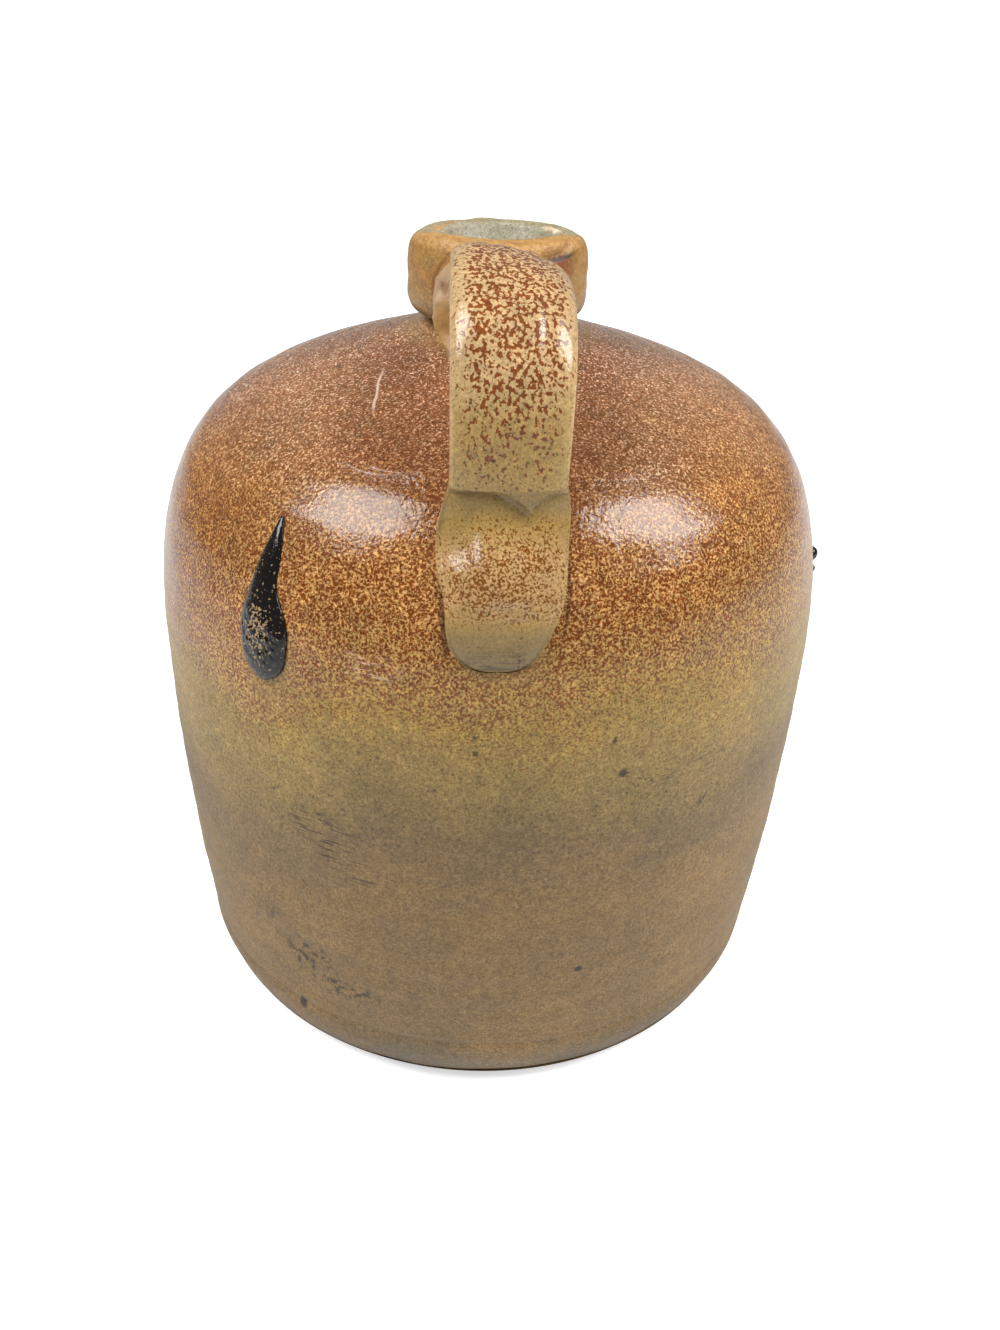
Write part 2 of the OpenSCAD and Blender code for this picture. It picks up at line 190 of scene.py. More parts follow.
class JugStage(bpy.types.PropertyGroup):
    """The floor, the lamps and the camera."""

    lamp_power: bpy.props.FloatProperty(
        name="Lamp power", description="Power of each soft lamp", default=12.2, min=0,
        unit="POWER")
    sky: share("Sky", 0.15, "Strength of the plain white surroundings as light", 4)
    lamp_distance: length("Lamp distance", 1150, "How far each lamp is from the jug")
    floor_radius: length("Floor radius", 3000, "Radius of the plain floor")


# Helpers: sizes, meshes and node trees

def sizes_mm():
    """All sizes in millimetres and radians, with the places that follow from them."""
    group = bpy.context.scene.jug_sizes
    s = SimpleNamespace()
    for key, item in group.bl_rna.properties.items():
        if item.type == "FLOAT":
            value = getattr(group, key)
            setattr(s, key, value / MM if item.unit == "LENGTH" else value)
    s.foot_radius = s.body_radius - s.foot_inset
    s.heel_radius = s.body_radius - s.heel_inset
    s.neck_radius = s.bore_radius + s.neck_wall
    s.collar_radius = s.neck_radius + s.collar_thickness
    s.dome_height = s.widest_height + s.dome_rise
    s.dome_end_radius = s.neck_radius + s.neck_flare
    s.neck_seat_height = s.dome_height + s.neck_flare * np.tan(s.dome_slope)
    s.neck_bottom = s.neck_seat_height - s.wall / np.cos(s.dome_slope)
    s.collar_bottom = s.neck_seat_height + s.neck_show
    s.rim_height = s.collar_bottom + s.collar_height
    s.handle_top_height = s.rim_height + s.handle_rise - s.strap_thickness / 2
    s.handle_top_reach = s.collar_radius + s.arch_run
    s.handle_end_reach = s.body_radius - s.crease_inset
    s.crease_height = s.widest_height + s.crease_share * s.dome_rise
    s.crease_width = 0.945 * s.strap_width
    s.root_width = 0.73 * s.strap_width
    s.root_height = s.rim_height - s.root_drop
    s.pad_end_height = s.widest_height + s.pad_end_share * s.dome_rise
    run, rise = s.shoulder_run_share * (s.body_radius - s.dome_end_radius), s.dome_rise
    s.dome_guides = np.array([
        [s.body_radius, s.widest_height],
        [s.body_radius, s.widest_height + s.shoulder_rise_share * rise],
        [s.dome_end_radius + run * np.cos(s.dome_slope),
         s.dome_height - run * np.sin(s.dome_slope)],
        [s.dome_end_radius, s.dome_height]])
    s.floor_inner_radius = float(outer_radius(s, s.floor_thickness)) - s.wall
    return s


def smooth(value, low, high):
    """0 below low, 1 above high, and a soft S between: 3t^2 - 2t^3."""
    t = np.clip((value - low) / (high - low), 0, 1)
    return t * t * (3 - 2 * t)


def hump(value, middle, width):
    """A bell that is 1 at the middle and falls away over the width."""
    return np.exp(-((value - middle) / width) ** 2)


def ripple(points, size, seed):
    """Soft lumps about a size across, from -1 to 1: the mean of 14 sine waves that run in
    directions drawn from a seed."""
    draw = np.random.default_rng(seed)
    total = np.zeros(points.shape[:-1])
    for wave in draw.normal(size=(14, 3)):
        direction = wave / np.linalg.norm(wave)
        pitch = size * draw.uniform(0.8, 1.6)
        total += np.sin(points @ direction * TURN / pitch + draw.uniform(0, TURN))
    return np.clip(total / 5, -1, 1)


def curve(guides, t):
    """Points of the cubic curve through four guide points: the Bernstein sum."""
    t = np.asarray(t, float)[:, None]
    p = np.asarray(guides, float)
    return ((1 - t) ** 3 * p[0] + 3 * (1 - t) ** 2 * t * p[1]
            + 3 * (1 - t) * t * t * p[2] + t ** 3 * p[3])


def curve_slope(guides, t):
    """Direction of the cubic curve at each t: the derivative of the Bernstein sum."""
    t = np.asarray(t, float)[:, None]
    p = np.asarray(guides, float)
    return 3 * ((1 - t) ** 2 * (p[1] - p[0]) + 2 * (1 - t) * t * (p[2] - p[1])
                + t * t * (p[3] - p[2]))


def path_along(points):
    """Distance of each point of a line from the first, along the line."""
    return np.concatenate([[0], np.cumsum(np.linalg.norm(np.diff(points, axis=0), axis=1))])


def softened(values, reach):
    """A line of values with rounded corners: the mean under a raised cosine that is reach steps
    wide to each side, and whose weights add up to reach."""
    return np.convolve(np.pad(values, reach, mode="edge"), np.hanning(2 * reach + 1) / reach,
                       "valid")


def profile(radius, height):
    """A line of [radius, height] points; either may be one number for all of them."""
    return np.stack(np.broadcast_arrays(radius, height), -1)


def about_axis(radius, turn, height):
    """Points at a radius, a direction from the handle and a height: the radius times the
    direction's sine and minus its cosine, as the handle is at -y."""
    return np.stack(np.broadcast_arrays(radius * np.sin(turn), -radius * np.cos(turn), height),
                    -1)


def turn_of(points):
    """Direction of each point from the handle: the angle whose tangent is x over -y."""
    return np.arctan2(points[..., 0], -points[..., 1])


def skin(name, rings, loop=False, sharp_rings=(), attributes=None):
    """A smooth-shaded mesh object from closed rings of points, an array of rings x points x 3 in
    millimetres. Each ring is joined to the next; with loop the last joins the first, and
    otherwise each end is closed by a fan about its middle. Faces are turned so that the volume
    is positive. The edges along each sharp ring are marked sharp."""
    rings = np.asarray(rings, float)
    count, points = rings.shape[:2]
    i = np.arange(count if loop else count - 1)[:, None]
    j = np.arange(points)[None, :]
    j_next, i_next = (j + 1) % points, (i + 1) % count
    quads = np.stack([i * points + j, i * points + j_next,
                      i_next * points + j_next, i_next * points + j], -1).reshape(-1, 4)
    verts = rings.reshape(-1, 3)
    fans = np.zeros((0, 3), int)
    if not loop:
        middles = np.stack([rings[0].mean(0), rings[-1].mean(0)])
        verts = np.concatenate([verts, middles])
        k = np.arange(points)
        k_next, last = (k + 1) % points, (count - 1) * points
        fans = np.concatenate([
            np.stack([np.full(points, count * points), k_next, k], -1),
            np.stack([np.full(points, count * points + 1), last + k, last + k_next], -1)])
    a, b, c, d = (verts[quads[:, n]] for n in range(4))
    volume = (np.einsum("ij,ij->", a, np.cross(b, c)) + np.einsum("ij,ij->", a, np.cross(c, d)))
    if len(fans):
        e, f, g = (verts[fans[:, n]] for n in range(3))
        volume += np.einsum("ij,ij->", e, np.cross(f, g))
    if volume < 0:
        quads, fans = quads[:, ::-1], fans[:, ::-1]
    mesh = bpy.data.meshes.new(name)
    mesh.from_pydata((verts * MM).tolist(), [], quads.tolist() + fans.tolist())
    mesh.update(calc_edges=True)
    mesh.shade_smooth()
    if len(sharp_rings):
        pairs = np.empty(len(mesh.edges) * 2, np.int32)
        mesh.edges.foreach_get("vertices", pairs)
        ring_of = np.minimum(pairs.reshape(-1, 2) // points, count)
        sharp = (ring_of[:, 0] == ring_of[:, 1]) & np.isin(ring_of[:, 0], list(sharp_rings))
        mesh.attributes.new("sharp_edge", "BOOLEAN", "EDGE").data.foreach_set("value", sharp)
    for key, values in (attributes or {}).items():
        padded = np.zeros(len(verts), np.float32)
        flat = np.asarray(values, np.float32).reshape(-1)
        padded[:len(flat)] = flat
        if not loop:
            padded[-2:] = flat[0], flat[-1]
        mesh.attributes.new(key, "FLOAT", "POINT").data.foreach_set("value", padded)
    mesh.validate()
    piece = bpy.data.objects.new(name, mesh)
    bpy.context.scene.collection.objects.link(piece)
    return piece


def revolve(line, columns):
    """Rings about the upright axis from a line of [radius, height] points: one ring a point."""
    around = np.linspace(0, TURN, columns, endpoint=False)
    return around, about_axis(line[:, :1], around, line[:, 1:])


NODE_MODES = {"Math": "operation", "VectorMath": "operation", "Mix": "blend_type",
              "MapRange": "interpolation_type"}
CHAINED = ("Math ADD", "Math SUBTRACT", "Math MULTIPLY", "Math MAXIMUM")


def add(tree, kind, *values, out=0, stops=(), **settings):
    """Adds a node and returns one of its outputs. kind is the node's type and, where it has one,
    its operation, blend or interpolation. values go to the inputs in order, and a dict gives
    inputs by name; each is a number, a colour or another node's output. A chained operation takes
    any count of values. settings are the node's own fields, and stops are a ramp's places, each
    with its grey or its colour."""
    if kind in CHAINED and len(values) > 2:
        values = (add(tree, kind, *values[:-1]), values[-1])
    kind, *mode = kind.split()
    node = tree.nodes.new("ShaderNode" + kind)
    settings.update({NODE_MODES[kind]: choice for choice in mode})
    if kind == "Mix":
        settings["data_type"], out = "RGBA", 2
    for field, choice in settings.items():
        setattr(node, field, choice)
    inputs = {}
    for place, value in zip((0, 6, 7) if kind == "Mix" else range(len(values)), values):
        inputs.update(value if isinstance(value, dict) else {place: value})
    for place, value in inputs.items():
        socket = node.inputs[place]
        if isinstance(value, bpy.types.NodeSocket):
            tree.links.new(value, socket)
        else:
            socket.default_value = (*value, 1) if socket.type == "RGBA" else value
    for number, (place, shade) in enumerate(stops):
        elements = node.color_ramp.elements
        element = elements[number] if number < 2 else elements.new(place)
        element.position = place
        element.color = (*(shade if hasattr(shade, "__len__") else (shade,) * 3), 1)
    return node.outputs[out] if len(node.outputs) else node


def new_material(name):
    """An empty node material, and the function that adds a node to it."""
    material = bpy.data.materials.new(name)
    material.use_nodes = True
    material.node_tree.nodes.clear()
    return material, partial(add, material.node_tree)


def new_glaze(name):
    """A new material, the function that adds a node to it, object coordinates in millimetres, and
    their x, y and z."""
    material, node = new_material(name)
    where = node("VectorMath SCALE", node("TexCoord", out="Object"), {"Scale": 1 / MM})
    return material, node, where, [node("SeparateXYZ", where, out=n) for n in range(3)]


def finish_glaze(node, shade, rough, height, depth, specular):
    """Adds the bump of a height, depth millimetres deep, the shader of a glaze or clay, whose IOR
    is that of common glass, and the output."""
    bump = node("Bump", {"Height": height, "Distance": depth * MM})
    shader = node("BsdfPrincipled", {"Base Color": shade, "Roughness": rough, "Normal": bump,
                                     "IOR": 1.5, "Specular IOR Level": specular})
    node("OutputMaterial", {"Surface": shader})


# The body's outline and its hand-thrown relief

def outer_radius(s, z):
    """Radius of the foot and wall at a height: a quarter ellipse up to the foot's height, then
    the body's radius less a power of how far the height is below the widest ring."""
    foot = s.foot_radius + (s.heel_radius - s.foot_radius) * np.sqrt(
        np.maximum(0, 1 - (1 - z / s.foot_height) ** 2))
    below = np.maximum(0, s.widest_height - z) / (s.widest_height - s.foot_height)
    wall = s.body_radius - (s.body_radius - s.heel_radius) * below ** s.wall_swell
    return np.where(z < s.foot_height, foot, wall)


def body_radius_at(s, z):
    """Radius of the undisturbed body at any height, on the wall or on the dome."""
    line = curve(s.dome_guides, np.linspace(0, 1, 2000))
    return np.where(z <= s.widest_height, outer_radius(s, z), np.interp(z, line[:, 1], line[:, 0]))


def outline_normals(line):
    """Unit normals of a line of [radius, height] points that runs upwards: its slope, turned a
    quarter turn outwards."""
    slope = np.gradient(line, axis=0)
    normal = np.stack([slope[:, 1], -slope[:, 0]], -1)
    return normal / np.linalg.norm(normal, axis=1, keepdims=True)


def thrown_relief(rings, climb):
    """How far the hand-thrown surface lies inside the true outline, in millimetres, as an array
    of rings x points: finger rings that climb as a shallow spiral, a slow sway out of round, soft
    dents, and the groove that the turning tool left above the foot. climb is each ring's distance
    along the outline from the widest ring. All of it is inwards, so the body keeps its box."""
    finger_pitch, groove_height = 8.7, 18.2
    around, z, climb = turn_of(rings), rings[..., 2], climb[:, None]
    finger = 1 + np.sin(TURN * climb / finger_pitch + around + 0.9 * np.sin(climb / 17))
    finger_depth = 0.03 + 0.03 * smooth(z, 120, 40) + 0.05 * smooth(z, 150, 180)
    sway = 2 + np.sin(2 * around + 1.3 + climb / 60) + np.sin(3 * around - 0.7 - climb / 45)
    dents = 1 + ripple(rings, 26, 3)
    small = 1 + ripple(rings, 9, 4)
    groove = (hump(z, groove_height + 0.7 * np.sin(around + 2), 0.8)
              * (0.65 + 0.35 * np.sin(around + 1.2)))
    return -(finger_depth * finger + 0.1 * sway + 0.12 * dents + 0.035 * small + 0.5 * groove)


def pushed(rings, around, normal, depth):
    """Rings moved by a depth along the normal of the line that they were revolved from."""
    return rings + depth[..., None] * about_axis(normal[:, :1], around, normal[:, 1:])


def worn(s, line):
    """Rings of the body's outer surface: the outline moved along its own normal by the relief."""
    around, rings = revolve(line, COLUMNS["body"])
    climb = path_along(line)
    climb -= np.interp(s.widest_height, line[:, 1], climb)
    return pushed(rings, around, outline_normals(line), thrown_relief(rings, climb))


def dome_line(s, steps, depth=0.0):
    """The dome's outline from the widest ring up, moved inwards along its normal, with its rows
    gathered towards the ends so that the joint's rows are close together."""
    u = np.linspace(0, 1, steps)
    t = 0.7 * u + 0.3 * (1 - np.cos(np.pi * u)) / 2
    points, slope = curve(s.dome_guides, t), curve_slope(s.dome_guides, t)
    inward = np.stack([-slope[:, 1], slope[:, 0]], -1)
    return points + depth * inward / np.linalg.norm(slope, axis=1, keepdims=True)


def wall_line(s, low, steps):
    """The foot's and wall's outline from a height up to the widest ring, with its rows gathered
    towards the joint."""
    u = np.linspace(0, 1, steps)
    z = low + (s.widest_height - low) * (0.75 * u + 0.25 * np.sin(u * np.pi / 2))
    return profile(outer_radius(s, z), z)


def joint_line(s):
    """The V of the joint between wall and dome, from the outside in: [radius, height] points."""
    r, h = s.body_radius, s.widest_height
    return [[r - s.wall / 4, h], [r - s.wall / 2, h - s.groove_depth], [r - 3 * s.wall / 4, h]]


# Pieces

def build_lower_wall(s):
    """The thrown wall: the worn outer surface, the V groove of the joint, and the inner face."""
    outside = worn(s, wall_line(s, s.floor_ledge, 130))
    inner_z = np.linspace(s.widest_height, s.floor_thickness, 14)
    rest = np.concatenate([joint_line(s), profile(outer_radius(s, inner_z) - s.wall, inner_z),
                           [[s.floor_inner_radius, s.floor_ledge]]])
    rings = np.concatenate([outside, revolve(rest, COLUMNS["body"])[1]])
    n, m = len(outside), len(rings)
    return skin("lower_wall_thrown", rings, loop=True,
                sharp_rings=[0, n - 1, n, n + 1, n + 2, n + 3, m - 2, m - 1])


def build_shoulder_dome(s):
    """The dome: the worn outer surface, the seat of the neck, the inner face and the V rib."""
    outside = worn(s, np.concatenate([dome_line(s, 140), [[s.neck_radius, s.neck_seat_height]]]))
    rest = np.concatenate([[[s.neck_radius, s.neck_bottom]], dome_line(s, 20, s.wall)[::-1],
                           joint_line(s)[::-1]])
    rings = np.concatenate([outside, revolve(rest, COLUMNS["body"])[1]])
    n, m = len(outside), len(rings)
    return skin("shoulder_dome_thrown", rings, loop=True,
                sharp_rings=[0, n - 1, n, m - 4, m - 3, m - 2, m - 1])


def build_floor(s):
    """The floor's disc with the start of the rounded foot; underneath are the curved lines that a
    twisted wire leaves when it cuts the pot from the wheel."""
    wire_pitch, flat_radius = 3.1, s.foot_radius - 1.6
    edge_z = np.linspace(0, s.floor_ledge, 9) ** 1.5 / s.floor_ledge ** 0.5
    edge = profile(outer_radius(s, edge_z), edge_z)
    edge[0, 0] -= 0.6
    under = profile(np.linspace(2, flat_radius, 84), 0.35)
    top = [[s.floor_inner_radius, s.floor_ledge], [s.floor_inner_radius, s.floor_thickness],
           [2, s.floor_thickness]]
    rings = revolve(np.concatenate([under, edge, top]), COLUMNS["floor"])[1]
    n = len(under)
    x, y = rings[:n, :, 0], rings[:n, :, 1]
    reach = np.hypot(x - 46, y + 30)
    wire = 0.16 * np.sin(TURN * reach / wire_pitch + 0.8 * np.sin(reach / 9))
    rings[:n, :, 2] += (wire * smooth(reach, 12, 30)
                        * smooth(np.hypot(x, y), flat_radius, s.foot_radius - 6))
    return skin("floor_slab_cut", rings, sharp_rings=[n + 8, n + 9])


def rim_relief(rings):
    """How far the rim's top is off its true height, in millimetres: soft lumps, a lower run where
    the lip was rubbed on the left, and a rise on the side where the handle's clay was drawn up."""
    return (-0.16 * (1 + ripple(rings, 11, 7)) - 0.06 * (1 + ripple(rings, 4, 8))
            - 0.3 * hump(turn_of(rings), -1.75, 0.3) + 1.7 * smooth(-rings[..., 1], -3, 13))


def build_neck(s):
    """The tube round the bore. Its mouth opens out as a cone up to a rounded lip, which is bent
    by a parabola of three guide points. A lump of stuck ash stands on the right of the lip, and
    the left of it is chipped."""
    cone_share, lip_width = 0.8, 1.1
    low, lip_r = s.rim_height - s.mouth_fall, s.bore_radius + s.mouth_flare
    bore = profile(s.bore_radius, np.linspace(s.neck_bottom, low, 30)[:-1])
    up = np.linspace(0, cone_share, 14)
    cone = profile(s.bore_radius + s.mouth_flare * up, low + s.mouth_fall * up)
    b = np.linspace(0, 1, 12)[:, None]
    guides = np.array([cone[-1], [lip_r, s.rim_height], [lip_r + lip_width, s.rim_height]])
    lip = (1 - b) ** 2 * guides[0] + 2 * b * (1 - b) * guides[1] + b * b * guides[2]
    top = profile(np.linspace(lip_r + lip_width, s.neck_radius, 6)[1:], s.rim_height)
    line = np.concatenate([bore, cone[:-1], lip, top, [[s.neck_radius, s.neck_bottom]]])
    around, rings = revolve(line, COLUMNS["neck"])
    reach, z = np.hypot(rings[..., 0], rings[..., 1]), rings[..., 2]
    high = smooth(z, s.rim_height - 6, s.rim_height)
    lump = (hump(around, 1.97, 0.16) + 0.6 * hump(around, 1.72, 0.09)
            + 0.5 * hump(around, 2.2, 0.1)) * hump(reach, 14.9, 1.3) * high
    chip = (hump(around, TURN - 1.65, 0.12) + 0.7 * hump(around, TURN - 1.95, 0.07)) * hump(
        reach, 15.4, 1.1) * high
    change = (rim_relief(rings) * high + 0.55 * lump * (1 + 0.5 * ripple(rings, 2.2, 9))
              - 0.6 * chip + 0.12 * ripple(rings, 3, 10) * smooth(z, low - 6, low))
    rings[:-1, :, 2] += change[:-1]
    n = len(line)
    return skin("neck_lip", rings, loop=True, sharp_rings=[0, n - 2, n - 1])


def collar_line(s):
    """The collar's outline from its inner top edge round the outside to its inner bottom edge:
    flat top, quarter ellipse, side, quarter ellipse, flat underside."""
    quarter = np.linspace(0, np.pi / 2, 16)
    side_top, side_foot = s.rim_height - s.collar_top_fall, s.collar_bottom + s.collar_foot_rise
    return np.concatenate([
        profile(np.linspace(s.neck_radius, s.collar_radius - s.collar_top_round, 7)[:-1],
                s.rim_height),
        profile(s.collar_radius - s.collar_top_round * (1 - np.sin(quarter)),
                s.rim_height - s.collar_top_fall * (1 - np.cos(quarter))),
        profile(s.collar_radius, np.linspace(side_top, side_foot, 18)[1:-1]),
        profile(s.collar_radius - s.collar_foot_round * (1 - np.cos(quarter)),
                s.collar_bottom + s.collar_foot_rise * (1 - np.sin(quarter))),
        [[s.neck_radius, s.collar_bottom]]])


def build_collar(s):
    """The rolled band, a little out of true, with two shallow finger lines round its side, and on
    the right of the strap a fold where clay was drawn over it."""
    line = collar_line(s)
    around, rings = revolve(line, COLUMNS["collar"])
    normal = outline_normals(line[::-1])[::-1]
    normal[0], normal[-1] = (0, 1), (0, -1)
    z, turn = rings[..., 2], turn_of(rings) / DEG
    fold = z - np.interp(turn, [24, 32, 40, 50, 60], [215.6, 215.3, 215.7, 216.7, 217.6])
    crack = ((1.1 * hump(fold, 0, 0.8) + 0.25 * hump(fold, -2.6, 1.6))
             * smooth(turn, 22, 28) * smooth(-turn, -56, -44))
    depth = -(0.1 * (1 + ripple(rings, 13, 11)) + 0.05 * (1 + ripple(rings, 5, 12))
              + 0.18 * hump(z, 207.5 + 0.5 * np.sin(around), 1.3) + 0.12 * hump(z, 213, 1) + crack)
    depth = depth * smooth(np.hypot(rings[..., 0], rings[..., 1]), s.neck_radius, 20.5)
    high = smooth(z, s.rim_height - 6, s.rim_height)
    rings = pushed(rings, around, normal, depth)
    rings[..., 2] += rim_relief(rings) * high
    return skin("collar_rolled", rings, loop=True,
                sharp_rings=[0, len(line) - 2, len(line) - 1])


def strap_rings(place, slope, width, thickness, lean, shift, squareness, relief):
    """Rings round a middle line in the handle's plane, rings x points x 3. Each ring is a
    superellipse across the line, turned by the lean about it. relief is a function of the side
    coordinate that lowers the outer face, in millimetres."""
    a = np.linspace(0, TURN, COLUMNS["strap"], endpoint=False)[None, :]

    def squared(wave):
        return np.sign(wave) * np.abs(wave) ** (2 / squareness[:, None]) / 2

    x, y = squared(np.cos(a)) * width[:, None], squared(np.sin(a)) * thickness[:, None]
    y = y - np.where(y > 0, relief(x), 0) * smooth(np.sin(a), 0.05, 0.55)
    lean, shift = lean[:, None], shift[:, None]
    out = np.stack([-slope[:, 1], slope[:, 0]], -1) / np.linalg.norm(slope, axis=1)[:, None]
    side = x * np.cos(lean) + y * np.sin(lean) + shift
    n = y * np.cos(lean) - x * np.sin(lean)
    rings = np.stack([side, -(place[:, :1] + n * out[:, :1]), place[:, 1:] + n * out[:, 1:]], -1)
    return rings, x


def handle_guides(s):
    """Guide points [reach, height] of the strap's rise from the collar, its fall to the crease,
    and the pad's run down the shoulder."""
    top = [s.handle_top_reach, s.handle_top_height]
    root = [[s.collar_radius - s.strap_thickness, s.root_height],
            [s.collar_radius + s.strap_thickness / 4, (s.root_height + top[1]) / 2],
            [(s.collar_radius + top[0]) / 2, top[1]], top]
    crease = [s.handle_end_reach, s.crease_height]
    drop = [top, [s.handle_end_reach - s.strap_thickness, top[1]],
            [s.handle_end_reach + s.strap_thickness / 6,
             (top[1] + 2 * s.crease_height) / 3 + s.strap_width / 2], crease]
    end_slope = curve_slope(drop, [1.0])[0]
    low = (2 * s.pad_end_height + s.crease_height) / 3
    pad = [crease, np.array(crease) + end_slope / np.linalg.norm(end_slope)
           * (s.crease_height - s.pad_end_height) / 3,
           [float(body_radius_at(s, low)) + s.pad_thickness / 8, low + s.pad_thickness / 8],
           [float(body_radius_at(s, s.pad_end_height)), s.pad_end_height]]
    return root, drop, pad


def build_strap(s):
    """The pulled strap: rings along the rise, which starts inside the collar, and the fall, with
    three shallow lines down its outer face that the potter's fingers left."""
    root, drop = handle_guides(s)[:2]
    rise_t, fall_t = np.linspace(0.12, 1, 72)[:-1], np.linspace(0, 1, 120)
    place = np.concatenate([curve(root, rise_t), curve(drop, fall_t)])
    slope = np.concatenate([curve_slope(root, rise_t), curve_slope(drop, fall_t)])
    width = np.concatenate([
        s.root_width + (s.strap_width - s.root_width) * np.sin(rise_t * np.pi / 2),
        s.strap_width + (s.crease_width - s.strap_width) * fall_t ** 2])
    fallen = np.concatenate([0 * rise_t, fall_t])
    square = s.arch_squareness + (s.strap_squareness - s.arch_squareness) * fallen
    path = path_along(place)
    row = path[:, None]
    fade = smooth(row, path[-1], path[-1] - 9)

    def finger_lines(x):
        wander = 0.5 * np.sin(row / 13)
        return fade * (0.3 * hump(x, -5.2 + wander, 1.5) + 0.24 * hump(x, 1.2 + wander, 1.3)
                       + 0.28 * hump(x, 7.0 + wander, 1.4)
                       + 0.1 * (1 + np.sin(row / 4.1 + x / 6)))

    rings, x = strap_rings(place, slope, width, np.full(len(place), s.strap_thickness),
                           s.arch_lean * (1 - fallen) ** 2, s.arch_shift * (1 - fallen ** 2),
                           square, finger_lines)
    return skin("handle_strap_pulled", rings, sharp_rings=[0, len(place) - 1],
                attributes={"across": x / (width[:, None] / 2)})


def build_terminal(s):
    """The pad under the crease: rings down the shoulder that close to a rounded tip. A thumb has
    pressed a hollow under an arched edge, and a smaller one beside it on the right. Each hollow
    is a step down across its edge that rises again by an exponential."""
    pad = handle_guides(s)[2]
    t = 1 - (1 - np.linspace(0, 1, 190)) ** 1.35
    place, slope = curve(pad, t), curve_slope(pad, t)
    # The pad grows to its full width, and from there it closes as half a superellipse.
    full_at, square = 0.3, 1.25 * s.pad_squareness
    grown = np.minimum(1, t / full_at)
    closing = np.maximum(0, (t - full_at) / (1 - full_at))
    shrink = np.maximum(0, 1 - closing ** square) ** (1 / square)
    width = (s.crease_width + (s.pad_width - s.crease_width) * np.sin(np.pi / 2 * grown)) * shrink
    thickness = (s.strap_thickness + (s.pad_thickness - s.strap_thickness) * grown) * shrink ** 0.8
    path = path_along(place)
    row = path[:, None]

    def thumb_marks(x):
        # How far down the pad the edges of the two marks lie, at places across it.
        arch = np.interp(x, [-15, -13, -8.6, -4.6, -2, 0.7, 3.3, 5.1, 5.6, 5.9, 6.4],
                         [3.6, 0.9, 0.1, 0.0, 0.6, 2.0, 4.3, 6.6, 9, 12, 95])
        press = 1.7 * smooth(row - arch, -0.3, 0.8) * np.exp(-np.maximum(0, row - arch) / 7)
        press = press * (1 - 0.75 * smooth(x, 4.2, 5.6))
        side = np.interp(x, [4.4, 5.1, 6.8, 9, 11.2, 13, 15],
                         [95, 4.2, 2.2, 1.2, 1.0, 1.7, 3.0])
        second = 0.95 * smooth(row - side, -0.3, 0.7) * np.exp(-np.maximum(0, row - side) / 5.5)
        # The wiped end and its fine grooves, the raised belly, and the left side that falls away.
        wipe = 0.6 * hump(row, 31, 5) * hump(x, 3, 7) + 0.5 * smooth(row, 26, 34)
        grooves = 0.08 * np.sin(row / 0.55 + x / 3) * hump(row, 29, 3.5) * hump(x, 2, 7)
        belly = 2.5 * hump(row, 21, 8.5) * hump(x, -1.5, 7.5) - smooth(row, 2, 10)
        fall = 1.25 * smooth(-x, 4.2, 10) * hump(row, 14, 7)
        return (press + second) * smooth(row, 0, 0.5) + wipe + grooves + fall - belly

    # The lower part is narrower on the right, and the pad swings to the left.
    tuck = smooth(path, 17, 31)
    width = width - 1.7 * tuck * shrink
    shift = 0.85 * tuck - 1.1 * smooth(path, 1, 14) - 1.9 * smooth(path, 24, 38)
    rings, x = strap_rings(place, slope, np.maximum(width, 0.5), np.maximum(thickness, 0.5),
                           0 * t, shift, np.full(len(t), s.strap_squareness), thumb_marks)
    rings[..., 1] += 0.14 * (1 + ripple(rings, 7, 15)) * smooth(row, 1, 6)
    return skin("handle_terminal_pressed", rings, sharp_rings=[0],
                attributes={"down": np.broadcast_to(row / path[-1], x.shape),
                            "across": x / (s.pad_width / 2)})


